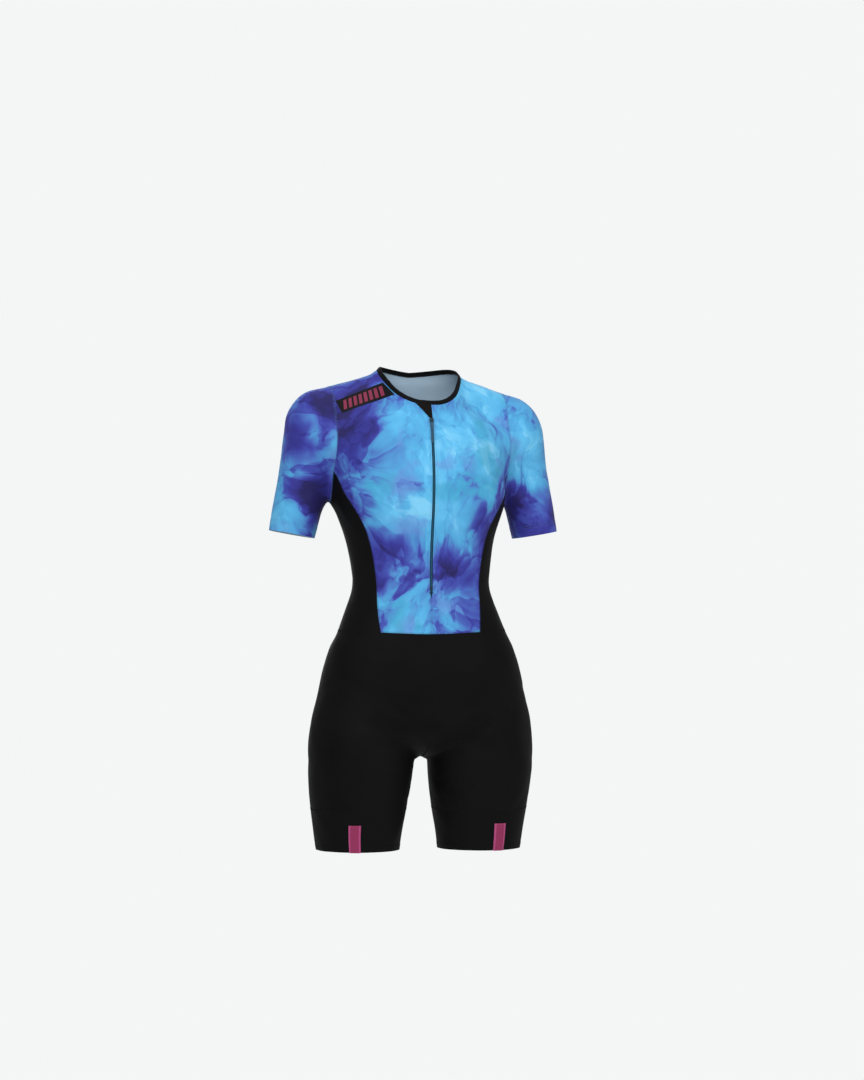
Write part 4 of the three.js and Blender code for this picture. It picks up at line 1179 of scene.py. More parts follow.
class Graph:
    """The nodes of one material."""

    def __init__(self, name: str) -> None:
        """Starts an empty material.

        Args:
            name: its name.
        """
        self.material = bpy.data.materials.new(name)
        self.material.use_nodes = True
        self.tree = self.material.node_tree
        self.tree.nodes.clear()

    def node(
        self, kind: str, settings: dict[str, object] | None = None, terms: dict | None = None
    ) -> Node:
        """Adds a node.

        Args:
            kind: the node's type.
            settings: its properties, set first. The stops of a ramp come as a list under "stops".
            terms: values or links of its inputs, by name or number.

        Returns:
            The node.
        """
        made = self.tree.nodes.new(kind)
        for key, value in (settings or {}).items():
            if key == "stops":
                self.set_stops(made.color_ramp, value)
            else:
                setattr(made, key, value)
        for key, value in (terms or {}).items():
            self.feed(made.inputs[key], value)
        return made

    def set_stops(self, ramp: bpy.types.ColorRamp, stops: Sequence[Stop]) -> None:
        """Gives a ramp its stops.

        Args:
            ramp: the ramp, which starts with stops of its own.
            stops: places and colours.
        """
        while len(ramp.elements) > 1:
            ramp.elements.remove(ramp.elements[-1])
        ramp.elements[0].position, ramp.elements[0].color = stops[0]
        for place, colour in stops[1:]:
            ramp.elements.new(place).color = colour

    def feed(self, socket: Socket, value: Term) -> None:
        """Links a value to an input, or sets it there.

        Args:
            socket: the input.
            value: what it gets.
        """
        source = value.socket if isinstance(value, Value) else value
        if isinstance(source, Socket):
            self.tree.links.new(source, socket)
        else:
            socket.default_value = source

    def place(self, shift: Point = (0.0, 0.0, 0.0)) -> Socket:
        """The piece's own coordinates in metres, shifted."""
        source = self.node("ShaderNodeTexCoord").outputs["Object"]
        return self.vector("ADD", source, shift)

    def cloth(self) -> Socket:
        """Metres across and down the cloth."""
        return self.node("ShaderNodeUVMap", {"uv_map": "cut"}).outputs["UV"]

    def parts(self, vector: Socket) -> tuple[Value, Value, Value]:
        """The three numbers of a vector."""
        split = self.node("ShaderNodeSeparateXYZ", None, {0: vector})
        return tuple(Value(self, split.outputs[k]) for k in range(3))

    def vector(self, operation: str, a: Term, b: Term) -> Socket:
        """A Vector Math node on two vectors, or on a vector and a scale."""
        terms = {0: a, "Scale" if operation == "SCALE" else 1: b}
        return self.node("ShaderNodeVectorMath", {"operation": operation}, terms).outputs[0]

    def distance(self, a: Term, b: Term) -> Value:
        """The distance between two places."""
        made = self.node("ShaderNodeVectorMath", {"operation": "DISTANCE"}, {0: a, 1: b})
        return Value(self, made.outputs["Value"])

    def noise(self, where: Term, scale: float, detail: float = 2.0, rough: float = 0.5) -> Node:
        """A noise texture."""
        terms = {"Vector": where, "Scale": scale, "Detail": detail, "Roughness": rough}
        return self.node("ShaderNodeTexNoise", {"noise_dimensions": "3D"}, terms)

    def cloud(self, where: Term, scale: float, detail: float = 2.0, rough: float = 0.5) -> Value:
        """A noise texture's number, which lies about a half."""
        return Value(self, self.noise(where, scale, detail, rough).outputs[0])

    def warped(self, where: Term, scale: float, reach: float, detail: float = 2.0) -> Socket:
        """A place moved on each axis by a noise texture's colour.

        Args:
            where: the place.
            scale: the noise texture's scale.
            reach: twice the most that it moves, in metres.
            detail: the noise texture's detail.

        Returns:
            The new place.
        """
        drift = self.noise(where, scale, detail).outputs["Color"]
        drift = self.vector("SUBTRACT", drift, (0.5, 0.5, 0.5))
        return self.vector("ADD", where, self.vector("SCALE", drift, reach))

    def ramp(self, value: Value, stops: Sequence[Stop]) -> Socket:
        """The colour at a value, mixed evenly from those of the stops before and after it.

        Args:
            value: the value.
            stops: places and colours.

        Returns:
            The colour.
        """
        made = self.node("ShaderNodeValToRGB", {"stops": stops}, {0: value})
        made.color_ramp.interpolation = "LINEAR"
        return made.outputs[0]

    def mix(self, share: Term, a: Term, b: Term) -> Socket:
        """Two colours, mixed by a share from 0 to 1."""
        return self.node("ShaderNodeMix", {"data_type": "RGBA"}, {0: share, 6: a, 7: b}).outputs[2]

    def shade(self, colour: Term, value: Value) -> Socket:
        """A colour made lighter or darker by a number."""
        return self.vector("SCALE", colour, value)

    def bump(self, height: Value, distance: float, strength: float = 1.0) -> Socket:
        """A normal tilted by a height that is 1 at the distance, in metres."""
        terms = {"Strength": strength, "Distance": distance, "Height": height}
        return self.node("ShaderNodeBump", None, terms).outputs[0]

    def surface(self, **sockets: Term) -> Material:
        """Ends the material in a Principled shader.

        Args:
            sockets: its inputs, by their names with _ for a space.

        Returns:
            The material.
        """
        named = {key.replace("_", " "): value for key, value in sockets.items()}
        shader = self.node("ShaderNodeBsdfPrincipled", None, named)
        self.node("ShaderNodeOutputMaterial", None, {"Surface": shader.outputs[0]})
        return self.material


def ink(red: int, green: int, blue: int) -> Colour:
    """A colour for a shader from the three numbers of a screen colour, by the sRGB curve."""
    screen = (c / 255 for c in (red, green, blue))
    return (*(c / 12.92 if c <= 0.04045 else ((c + 0.055) / 1.055) ** 2.4 for c in screen), 1.0)


@dataclass(frozen=True)
class Knit:
    """The loops of a fine knit: ribs down the cloth and rows of loops across them, in metres."""

    rib: float = 0.0011
    row: float = 0.0009
    depth: float = 0.00005
    turn: float = 0.9
    shares: tuple[float, float] = (0.3, 0.2)

    def height(self, graph: Graph) -> Value:
        """Height of the loops, 0 to 1: a sine across, and one down whose phase turns with the ribs.

        Args:
            graph: the material.

        Returns:
            The height.
        """
        across, down, _ = graph.parts(graph.cloth())
        rib = across.wave(self.rib)
        loop = (down * (2 * math.pi / self.row) + rib * self.turn).sine()
        return (rib * self.shares[0] + loop * self.shares[1]) + 0.5


# tone, and the ink of the print there, from the darkest to the lightest
INKS = (
    *((0.00, ink(34, 30, 92)), (0.12, ink(44, 42, 124)), (0.25, ink(54, 56, 152))),
    *((0.36, ink(64, 80, 172)), (0.44, ink(72, 108, 188)), (0.52, ink(76, 140, 204))),
    *((0.61, ink(78, 160, 214)), (0.73, ink(84, 174, 224)), (0.88, ink(98, 188, 234))),
    (1.00, ink(124, 202, 240)),
)


@dataclass(frozen=True)
class PrintedKnit:
    """Printed stretch knit: a soft wash of blue inks, warped twice so that it runs like marbling.

    A ball is a broad place, given by its centre, its radius and what it adds to the tone. A wash
    has a scale, the level of its crisp edge and what it takes off the tone.
    """

    name: str
    shift: Point
    balls: tuple[tuple[Point, float, float], ...]
    washes: tuple[Point, ...] = ((9.0, 0.50, 0.15), (14.0, 0.53, 0.13), (24.0, 0.55, 0.09))
    middle: float = 0.66
    contrast: float = 1.7
    knit: Knit = Knit()

    def tone(self, graph: Graph, where: Socket) -> Value:
        """Tone of the inks, mostly from 0 to 1.

        A cloud that is warped twice, with broad places darker or lighter, less some washes. A wash
        starts at a crisp edge, where a second cloud passes a level, and fades out behind it.

        Args:
            graph: the material.
            where: the place in the print.

        Returns:
            The tone.
        """
        first = graph.warped(where, 5.0, 0.20)
        second = graph.warped(first, 16.0, 0.055, 3.0)
        tone = (graph.cloud(second, 8.5, 4.0, 0.56) - 0.5) * self.contrast + self.middle
        place = graph.warped(graph.place(), 9.0, 0.10, 3.0)
        for centre, radius, weight in self.balls:
            near = graph.distance(place, centre).rise(radius, 0.25 * radius)
            tone = tone + near * weight
        for number, (scale, level, weight) in enumerate(self.washes):
            spot = graph.vector("ADD", first, (1.3 * number, 2.1 * number, 0.7))
            over = graph.cloud(graph.warped(spot, 2.2 * scale, 0.6 / scale), scale) - level
            wash = over.rise(-0.004, 0.012) * over.rise(0.17, 0.01)
            tone = tone - wash * weight
        return tone

    def make(self) -> Material:
        """Builds the material.

        Returns:
            The finish, ready for its pieces.
        """
        graph = Graph(self.name)
        where = graph.place(self.shift)
        tone = self.tone(graph, where)
        colour = graph.ramp(tone, INKS)
        drift = graph.warped(where, 11.0, 0.09)
        violet = graph.cloud(drift, 13.0, 3.0).rise(0.54, 0.66) * tone.rise(0.34, 0.58) * 0.5
        colour = graph.mix(violet, colour, ink(104, 130, 204))
        drift = graph.vector("ADD", drift, (3.1, 1.7, 0.4))
        teal = graph.cloud(drift, 11.0, 3.0).rise(0.57, 0.67)
        colour = graph.mix(teal * tone.rise(0.45, 0.65) * 0.55, colour, ink(56, 158, 194))
        haze = graph.cloud(where, 60.0, 4.0, 0.6)
        colour = graph.shade(colour, 0.90 + haze * 0.20)
        height = self.knit.height(graph) + graph.cloud(graph.place(), 420.0) * 0.5
        return graph.surface(
            Base_Color=colour,
            Roughness=0.54 + graph.cloud(graph.place(), 35.0, 3.0) * 0.14,
            Specular_IOR_Level=0.20,
            Sheen_Weight=0.05,
            Sheen_Roughness=0.45,
            Normal=graph.bump(height, self.knit.depth, 0.6),
        )


@dataclass(frozen=True)
class PlainKnit:
    """Plain dyed stretch knit, a little lighter in broad patches at random and dusted by lint."""

    name: str
    colour: Colour
    worn: Colour
    rough: float = 0.58
    sheen: float = 0.015
    specular: float = 0.075
    knit: Knit = Knit()

    def make(self) -> Material:
        """Builds the material.

        Returns:
            The finish, ready for its pieces.
        """
        graph = Graph(self.name)
        where = graph.place()
        broad = graph.cloud(where, 9.0, 3.0, 0.55).rise(0.35, 0.70)
        fine = graph.cloud(where, 260.0, 3.0, 0.6)
        height = self.knit.height(graph)
        colour = graph.mix(broad * 0.7 + fine * 0.3, self.colour, self.worn)
        # darker in the hollows of the knit's loops and lighter on their tops, by the bump's own
        # height: painted shade and painted light
        colour = graph.shade(colour, 0.86 + height * 0.28)
        lint = graph.cloud(where, 900.0, 1.0).rise(0.76, 0.82) * 0.03
        colour = graph.mix(lint, colour, ink(120, 120, 124))
        return graph.surface(
            Base_Color=colour,
            Roughness=self.rough + broad * 0.07 + fine * 0.04,
            Specular_IOR_Level=self.specular,
            Sheen_Weight=self.sheen,
            Sheen_Roughness=0.35,
            Normal=graph.bump(height + fine * 0.4, self.knit.depth, 0.7),
        )


@dataclass(frozen=True)
class ElasticBand:
    """Elastic knit of the leg bands, with close fine ribs round the leg."""

    name: str = "elastic_band"
    rib: float = 0.0021
    loop: float = 0.0012

    def make(self) -> Material:
        """Builds the material.

        Returns:
            The finish, ready for its pieces.
        """
        graph = Graph(self.name)
        across, down, _ = graph.parts(graph.cloth())
        rib = down.ribs(self.rib)
        loop = across.ribs(self.loop)
        fine = graph.cloud(graph.place(), 300.0, 3.0, 0.6)
        broad = graph.cloud(graph.place(), 12.0, 2.0)
        # lighter on the crests of the ribs, which are the bump's height: painted light there and
        # painted shade between them, with random tone from the fine noise
        colour = graph.mix(rib * 0.5 + fine * 0.5, ink(4, 4, 5), ink(12, 12, 13))
        return graph.surface(
            Base_Color=colour,
            Roughness=0.54 + broad * 0.10 + fine * 0.05,
            Specular_IOR_Level=0.085,
            Normal=graph.bump(rib * 0.7 + loop * 0.15 + fine * 0.15, 0.00010, 0.8),
        )


@dataclass(frozen=True)
class Woven:
    """A close plain weave of one colour, with a paler or darker line along each long edge."""

    name: str
    colour: Colour
    # the lighter colour: painted light on the weave's crests, and random tone
    second: Colour
    border: Colour
    half_width: float
    border_at: float
    pitch: float = 0.0008
    rough: float = 0.5
    blur: float = 0.08

    def make(self) -> Material:
        """Builds the material.

        Returns:
            The finish, ready for its pieces.
        """
        graph = Graph(self.name)
        across, down, _ = graph.parts(graph.cloth())
        warp = across.wave(self.pitch)
        weft = down.wave(self.pitch)
        height = warp * weft * 0.5 + 0.5
        fine = graph.cloud(graph.place(), 500.0, 2.0)
        # lighter on the weave's crests, which are the bump's height: painted light there and
        # painted shade between them, with random tone from the fine noise
        colour = graph.mix(height * 0.6 + fine * 0.4, self.colour, self.second)
        border = [(self.border_at + blur) * self.half_width for blur in (0.0, self.blur)]
        colour = graph.mix(abs(across).rise(*border) * 0.75, colour, self.border)
        return graph.surface(
            Base_Color=colour,
            Roughness=self.rough + fine * 0.12,
            Specular_IOR_Level=0.25,
            Sheen_Weight=0.05,
            Normal=graph.bump(height + fine * 0.3, 0.00009, 0.8),
        )


@dataclass(frozen=True)
class Binding:
    """Soft folded binding of the neck: a dull black knit tape with ribs along it."""

    name: str = "binding_tape"
    rib: float = 0.0011
    tuck: float = 0.0046

    def make(self) -> Material:
        """Builds the material.

        Returns:
            The finish, ready for its pieces.
        """
        graph = Graph(self.name)
        across, down, _ = graph.parts(graph.cloth())
        rib = down.ribs(self.rib)
        nap = graph.cloud(graph.place(), 700.0, 3.0, 0.6)
        tuck = across.ribs(self.tuck)
        # lighter on the crests of the ribs, which are the bump's height: painted light there and
        # painted shade between them, with random tone from the nap
        colour = graph.mix(rib * 0.5 + nap * 0.5, ink(6, 6, 8), ink(15, 15, 18))
        return graph.surface(
            Base_Color=colour,
            Roughness=0.62 + nap * 0.16,
            Specular_IOR_Level=0.09,
            Sheen_Weight=0.02,
            Sheen_Roughness=0.4,
            Normal=graph.bump(rib * 0.5 + nap * 0.3 + tuck * 0.2, 0.00012, 0.8),
        )


@dataclass(frozen=True)
class Thread:
    """Spun sewing thread."""

    name: str
    colour: Colour
    light: Colour
    specular: float = 0.3
    sheen: float = 0.2

    def make(self) -> Material:
        """Builds the material.

        Returns:
            The finish, ready for its pieces.
        """
        graph = Graph(self.name)
        ply = graph.cloud(graph.place(), 2600.0, 2.0, 0.6)
        colour = graph.mix(ply.rise(0.35, 0.65), self.colour, self.light)
        return graph.surface(
            Base_Color=colour,
            Roughness=0.52 + ply * 0.2,
            Specular_IOR_Level=self.specular,
            Sheen_Weight=self.sheen,
            Normal=graph.bump(ply, 0.00005, 0.7),
        )


@dataclass(frozen=True)
class Moulded:
    """Moulded plastic, rubber or enamel: mottled, and paler and rougher where it is rubbed."""

    name: str
    colour: Colour
    worn: Colour
    rough: float
    metallic: float = 0.0
    coat: float = 0.0

    def make(self) -> Material:
        """Builds the material.

        Returns:
            The finish, ready for its pieces.
        """
        graph = Graph(self.name)
        grain = graph.cloud(graph.place(), 1800.0, 3.0, 0.6)
        rubbed = graph.cloud(graph.place(), 260.0, 3.0, 0.6).rise(0.52, 0.72)
        colour = graph.mix(rubbed * 0.6 + grain * 0.2, self.colour, self.worn)
        return graph.surface(
            Base_Color=colour,
            Roughness=self.rough + rubbed * 0.12 + grain * 0.05,
            Metallic=self.metallic,
            Coat_Weight=self.coat,
            Normal=graph.bump(grain, 0.00003, 0.5),
        )


@dataclass(frozen=True)
class Transfer:
    """Heat transfer band on the shoulder: black film with a row of plain leaning bars."""

    name: str = "shoulder_transfer"
    film: Colour = ink(11, 10, 13)
    bar: Colour = ink(136, 50, 78)
    pitch: float = 0.0092
    lean: float = 0.45
    bar_edge: tuple[float, float] = (0.34, 0.28)
    side_edge: tuple[float, float] = (0.0080, 0.0075)
    end_edge: tuple[float, float] = (0.0366, 0.0360)

    def make(self) -> Material:
        """Builds the material.

        Returns:
            The finish, ready for its pieces.
        """
        graph = Graph(self.name)
        across, down, _ = graph.parts(graph.cloth())
        phase = ((across - down * self.lean) / self.pitch).share()
        bars = abs(phase - 0.5).rise(*self.bar_edge)
        inside = abs(down).rise(*self.side_edge)
        inside = inside * abs(across - down * self.lean).rise(*self.end_edge)
        crack = graph.cloud(graph.place(), 380.0, 3.0, 0.6)
        colour = graph.mix(bars * inside * crack.rise(0.30, 0.42), self.film, self.bar)
        return graph.surface(
            Base_Color=colour,
            Roughness=0.46 + crack * 0.15,
            Specular_IOR_Level=0.15,
            Normal=graph.bump(crack, 0.00004, 0.5),
        )


@dataclass(frozen=True)
class Paper:
    """Seamless pale paper of the studio floor."""

    name: str = "studio_paper"
    glow: float = 0.05

    def make(self) -> Material:
        """Builds the material.

        Returns:
            The finish, ready for its pieces.
        """
        graph = Graph(self.name)
        fibre = graph.cloud(graph.place(), 40.0, 4.0, 0.6)
        colour = graph.mix(fibre, ink(236, 238, 238), ink(243, 245, 245))
        return graph.surface(
            Base_Color=colour,
            Roughness=0.85 + fibre * 0.08,
            Emission_Color=colour,
            Emission_Strength=self.glow,
        )


class Wardrobe:
    """Every finish of the suit, made once. Each print has a shift and its balls."""

    PRINTS = {
        "front": (
            (0.31, 0.17, 0.52),
            (
                ((0.085, -0.09, -0.400), 0.120, -0.46),
                ((0.120, -0.07, -0.265), 0.080, -0.34),
                ((-0.125, -0.04, -0.075), 0.105, -0.42),
                ((-0.070, -0.09, -0.330), 0.075, -0.20),
                ((-0.030, -0.10, -0.215), 0.150, 0.20),
                ((0.060, -0.09, -0.130), 0.120, 0.14),
            ),
        ),
        "back": (
            (1.71, 0.47, 0.12),
            (
                ((-0.070, 0.09, -0.350), 0.170, -0.38),
                ((0.090, 0.09, -0.120), 0.120, -0.40),
                ((0.050, 0.09, -0.260), 0.120, 0.20),
            ),
        ),
        "sleeve_left": (
            (2.35, 1.13, 0.88),
            (
                ((0.215, 0.00, -0.255), 0.085, -0.46),
                # dark under the arm: print there, and painted shade under the arm as well
                ((0.160, 0.02, -0.205), 0.060, -0.42),
                ((0.200, -0.02, -0.120), 0.095, 0.20),
            ),
        ),
        "sleeve_right": (
            (3.05, 0.23, 1.42),
            (
                ((-0.185, 0.00, -0.090), 0.085, -0.44),
                # dark under the arm: print there, and painted shade under the arm as well
                ((-0.160, 0.02, -0.215), 0.070, -0.46),
                ((-0.225, 0.00, -0.235), 0.090, 0.16),
            ),
        ),
    }

    def __init__(self) -> None:
        """Makes the finishes."""
        self.prints = {
            name: PrintedKnit(f"print_{name}", *how).make() for name, how in self.PRINTS.items()
        }
        self.reverse = PlainKnit(
            "print_reverse", ink(170, 196, 216), ink(190, 212, 228), 0.65, 0.05
        ).make()
        self.black = PlainKnit("black_knit", ink(6, 6, 7), ink(15, 14, 15)).make()
        self.black_reverse = PlainKnit(
            "black_reverse", ink(14, 14, 16), ink(22, 22, 24), 0.68
        ).make()
        self.band = ElasticBand().make()
        self.binding = Binding().make()
        self.guard = PlainKnit("guard_knit", ink(13, 10, 9), ink(24, 19, 17), 0.62).make()
        # the second pink is painted light on the weave's crests, and random tone
        pinks = ink(128, 32, 74), ink(150, 48, 92), ink(182, 74, 128)
        self.tab = Woven("tab_weave", *pinks, 0.0095, 0.72).make()
        # the second blue is painted light on the weave's crests, and random tone
        blues = ink(6, 62, 90), ink(18, 86, 114), ink(6, 50, 74)
        self.tape = Woven("zip_tape_weave", *blues, 0.0055, 0.8, 0.0007).make()
        self.black_thread = Thread("black_thread", ink(7, 7, 8), ink(22, 22, 24), 0.1, 0.03).make()
        self.blue_thread = Thread("blue_thread", ink(44, 70, 140), ink(92, 134, 196)).make()
        self.pink_thread = Thread("pink_thread", ink(150, 56, 104), ink(206, 110, 160)).make()
        self.coil = Moulded("zip_coil", ink(8, 74, 102), ink(34, 112, 142), 0.38).make()
        enamel = ink(17, 34, 42), ink(66, 84, 92)
        self.slider = Moulded("slider_enamel", *enamel, 0.32, 0.35, 0.3).make()
        self.pull = Moulded("pull_rubber", ink(24, 68, 94), ink(48, 100, 128), 0.5).make()
        self.transfer = Transfer().make()


class Stitch(Enum):
    """The kinds of sewing on the suit."""

    FLATLOCK = "two rows joined by a ladder of thread"
    COVER = "two rows side by side"
    SINGLE = "one row"


@dataclass
class Sewing:
    """Thread on the cloth: small grains of thread along lines on the form, joined into one mesh."""

    cloth: Cloth
    radius: float = 0.00021
    pitch: float = 0.0027
    length: float = 0.0021
    gauge: float = 0.0017
    lift: float = 0.12
    full: float = 0.6
    slant: float = 0.45
    tail: float = 0.3

    def raised(self, more: float) -> "Sewing":
        """The same sewing on cloth that stands so many millimetres higher."""
        return replace(self, lift=self.lift + more)

    def grains(self, centre: Array, along: Array, out: Array, half: float) -> tuple[Array, Array]:
        """Grains of thread: two rings of four points between two tips.

        Args:
            centre: middle of each grain, metres.
            along: its direction.
            out: the cloth's normal there.
            half: half its length.

        Returns:
            Points and three-cornered faces.
        """
        across = unit(np.cross(along, out))
        up = np.cross(across, along)
        ring = self.radius * np.array([[1, 1], [-1, 1], [-1, -1], [1, -1]]) * math.sqrt(0.5)
        rings = [(end, a, b) for end in (-self.full, self.full) for a, b in ring]
        local = np.array([(-1.0, 0.0, 0.0), *rings, (1.0, 0.0, 0.0)])
        points = (
            centre[:, None]
            + along[:, None] * (local[:, :1] * half)
            + across[:, None] * local[:, 1:2]
            + up[:, None] * local[:, 2:3]
        )
        faces = []
        for k in range(4):
            n = (k + 1) % 4
            faces += [(0, 1 + n, 1 + k), (1 + k, 1 + n, 5 + n)]
            faces += [(1 + k, 5 + n, 5 + k), (9, 5 + k, 5 + n)]
        count = np.arange(len(centre)) * len(local)
        return points.reshape(-1, 3), (np.array(faces) + count[:, None, None]).reshape(-1, 3)

    def row(
        self, line: Array, offset: float, start: float = 0.5
    ) -> tuple[Array, Array, Array, Array]:
        """Even places along a line on the form, moved sideways on the cloth.

        Args:
            line: points on the even form.
            offset: metres to the side.
            start: share of a pitch before the first.

        Returns:
            Centres, directions, sideways directions and normals, in metres.
        """
        base = self.cloth.placed(line, self.lift)
        above = self.cloth.placed(line, self.lift + 1.0)
        lengths = lengths_along(base)
        at = np.arange(start * self.pitch, lengths[-1] - self.tail * self.pitch, self.pitch)

        def read(values: Array) -> Array:
            """Values at the even places."""
            return np.stack([np.interp(at, lengths, values[:, k]) for k in range(3)], -1)

        out = unit(read(above - base))
        along = unit(read(np.gradient(base, axis=0)))
        aside = unit(np.cross(along, out))
        return read(base) + aside * offset, along, aside, out

    def run(self, line: Array, kind: Stitch) -> list[tuple[Array, Array]]:
        """All grains of one line of sewing.

        Args:
            line: points on the even form.
            kind: the kind of sewing.

        Returns:
            Points and faces of each part of it.
        """
        if kind is Stitch.SINGLE:
            centre, along, _, out = self.row(line, 0.0)
            return [self.grains(centre, along, out, self.length / 2)]
        made = []
        for side in (-1, 1):
            centre, along, _, out = self.row(line, side * self.gauge, 0.5 + 0.25 * side)
            made.append(self.grains(centre, along, out, self.length / 2))
        if kind is Stitch.FLATLOCK:
            centre, along, aside, out = self.row(line, 0.0)
            turns = np.where(np.arange(len(along)) % 2, 1.0, -1.0)[:, None]
            slanting = unit(aside + self.slant * along * turns)
            made.append(self.grains(centre, slanting, out, self.gauge))
        return made

    def sew(
        self,
        name: str,
        lines: Sequence[Array],
        kind: Stitch,
        thread: Material,
        slot: str,
        both: bool = True,
    ) -> None:
        """One piece of sewing from several lines.

        Args:
            name: the piece's name.
            lines: points on the even form.
            kind: the kind of sewing.
            thread: its finish.
            slot: the record's finish; it is not used.
            both: whether the wearer's other side has the same lines.
        """
        parts = []
        for line in lines:
            parts += self.run(line, kind)
            if both:
                parts += self.run(mirrored(line), kind)
        counts = np.cumsum([0] + [len(points) for points, _ in parts])
        points = np.concatenate([points for points, _ in parts])
        faces = np.concatenate([faces + count for (_, faces), count in zip(parts, counts)])
        dressed(add_mesh(name, points, faces, [thread], sharp=None))


@dataclass
class Sheeting:
    """Makes the cloth pieces: thin closed walls on the form, each declared with its flat cut."""

    cloth: Cloth
    stretch: tuple[float, float] = (1.08, 1.03)
    most_full: float = 0.999
    cuts: dict[str, tuple[float, float, float]] = field(default_factory=dict)

    def piece(
        self,
        name: str,
        node: str,
        grid: Array,
        materials: Sequence[Material],
        slot: str,
        lift: Array | float = 0.0,
        thick: float = 0.9,
        closed: bool = False,
        stretched: bool = True,
        folded: float = 1.0,
    ) -> None:
        """One cut piece in place of its solid.

        Args:
            name: the piece's name.
            node: the solid that it stands for.
            grid: points on the even form in rows and columns.
            materials: the finish of its face, and that of its back.
            slot: the record's finish; it is not used.
            lift: millimetres from the form to the outer face.
            thick: the cloth's thickness.
            closed: whether the last column joins the first.
            stretched: whether the cloth is stretched over the form.
            folded: how many times the cut is as long as what shows, where it is folded under.
        """
        lift = np.broadcast_to(np.asarray(lift, float), grid.shape[:-1])
        outer = self.cloth.placed(grid, lift)
        inner = self.cloth.placed(grid, lift - thick)
        made = dressed(wall(name, outer, inner, materials, closed), node)
        self.declare(made, outer, closed, stretched, folded)

    def declare(
        self,
        made: bpy.types.Object,
        outer: Array,
        closed: bool = False,
        stretched: bool = False,
        folded: float = 1.0,
    ) -> None:
        """Args:
            made: the piece.
            outer: its outer points, metres.
            closed: whether the last column joins the first.
            stretched: whether the cloth is stretched over the form.
            folded: how many times the cut is as long as what shows.
        """
        ring = np.concatenate([outer, outer[:, :1]], axis=1) if closed else outer
        across, down = self.stretch if stretched else (1.0, 1.0)
        width, length = (
            float(np.linalg.norm(np.diff(ring, axis=axis), axis=-1).sum(axis).max()) / stretch
            for axis, stretch in ((1, across), (0, down))
        )
        a, b, c, d = ring[:-1, :-1], ring[1:, :-1], ring[1:, 1:], ring[:-1, 1:]
        area = np.linalg.norm(np.cross(c - a, d - b), axis=-1).sum() / 2
        area = min(float(area) / (across * down), self.most_full * width * length)
        length *= folded
        self.cuts[made.name] = (width, length, area)


@dataclass
class Bodice:
    """Fronts, back, side panels and sleeves, with the sewing that joins them."""

    cut: Cut
    sheeting: Sheeting
    sewing: Sewing
    wardrobe: Wardrobe
    hem_fold: float = 17.0
    hem_edge: tuple[float, float] = (2.6, 3.8)
    hem_raise: float = 0.35
    zip_fold: float = 5.2
    zip_fold_edge: float = 0.9
    zip_fold_fade: float = 3.0
    zip_raise: float = 0.32
    below_zip: float = 10.0

    def build(self) -> None:
        """Builds the panels and the sewing."""
        w, cut, piece = self.wardrobe, self.cut, self.sheeting.piece
        from_zip, edge = cut.front[..., 0] - cut.zip_edge_x, self.zip_fold - self.zip_fold_edge
        above = smoothstep(cut.front[..., 2], cut.tape_end_z - self.zip_fold_fade, cut.tape_end_z)
        fold = self.zip_raise * smoothstep(from_zip, self.zip_fold, edge) * above
        cloth, black = [w.prints["front"], w.reverse], [w.black, w.black_reverse]
        for side, sign in LEFT_RIGHT:
            grid = mirrored(cut.front, sign)
            piece(f"front_{side}_panel", f"front_{side}", grid, cloth, "printed_knit", fold)
        piece("back_panel", "back", cut.back, [w.prints["back"], w.reverse], "printed_knit")
        for side, sign in LEFT_RIGHT:
            grid = mirrored(cut.side_panel, sign)
            piece(f"side_{side}_panel", f"side_{side}", grid, black, "black_knit")
        self.sleeves()
        self.seams()

    def sleeves(self) -> None:
        """The sleeves, whose cloth is double and a little raised in the turned hem."""
        w, grid = self.wardrobe, self.cut.sleeve_panel
        above = np.linalg.norm(grid - grid[-1], axis=-1)
        lift = 1.0 - smoothstep(above, *(self.hem_fold + more for more in self.hem_edge))
        lift = self.hem_raise * lift
        for side, sign in LEFT_RIGHT:
            node, cloth = f"sleeve_{side}", [w.prints[f"sleeve_{side}"], w.reverse]
            turned = mirrored(grid, sign)
            self.sheeting.piece(f"{node}_panel", node, turned, cloth, "printed_knit", lift)

    def above_hem(self, grid: Array) -> Array:
        """The line round a sleeve a hem's depth above its edge, measured up each column.

        Args:
            grid: points of the sleeve in rows and columns.

        Returns:
            Points on the form.
        """
        line = []
        for column in np.moveaxis(grid[::-1], 1, 0):
            lengths = lengths_along(column)
            line.append([np.interp(self.hem_fold, lengths, column[:, k]) for k in range(3)])
        return self.cut.figure.settle(np.array(line))

    def seams(self) -> None:
        """Flatlock seams, the cover stitch of the sleeve hems and the centre front seam."""
        cut, w, sew = self.cut, self.wardrobe, self.sewing.sew
        flat, blue = Stitch.FLATLOCK, (w.blue_thread, "printed_knit")
        sides, joins = [cut.front_side, cut.back_side], [cut.armhole, cut.shoulder_seam]
        sew("side_seam_sewing", sides, flat, w.black_thread, "black_knit")
        sew("sleeve_seam_sewing", joins, flat, *blue)
        sew("sleeve_under_sewing", [cut.sleeve_panel[:, 0]], flat, *blue)
        raised = self.sewing.raised(self.hem_raise)
        raised.sew("sleeve_hem_sewing", [self.above_hem(cut.sleeve_panel)], Stitch.COVER, *blue)
        below = cut.zip_edge[cut.zip_edge[:, 2] < cut.tape_end_z - self.below_zip]
        sew("centre_front_sewing", [below * NO_X], flat, *blue, both=False)


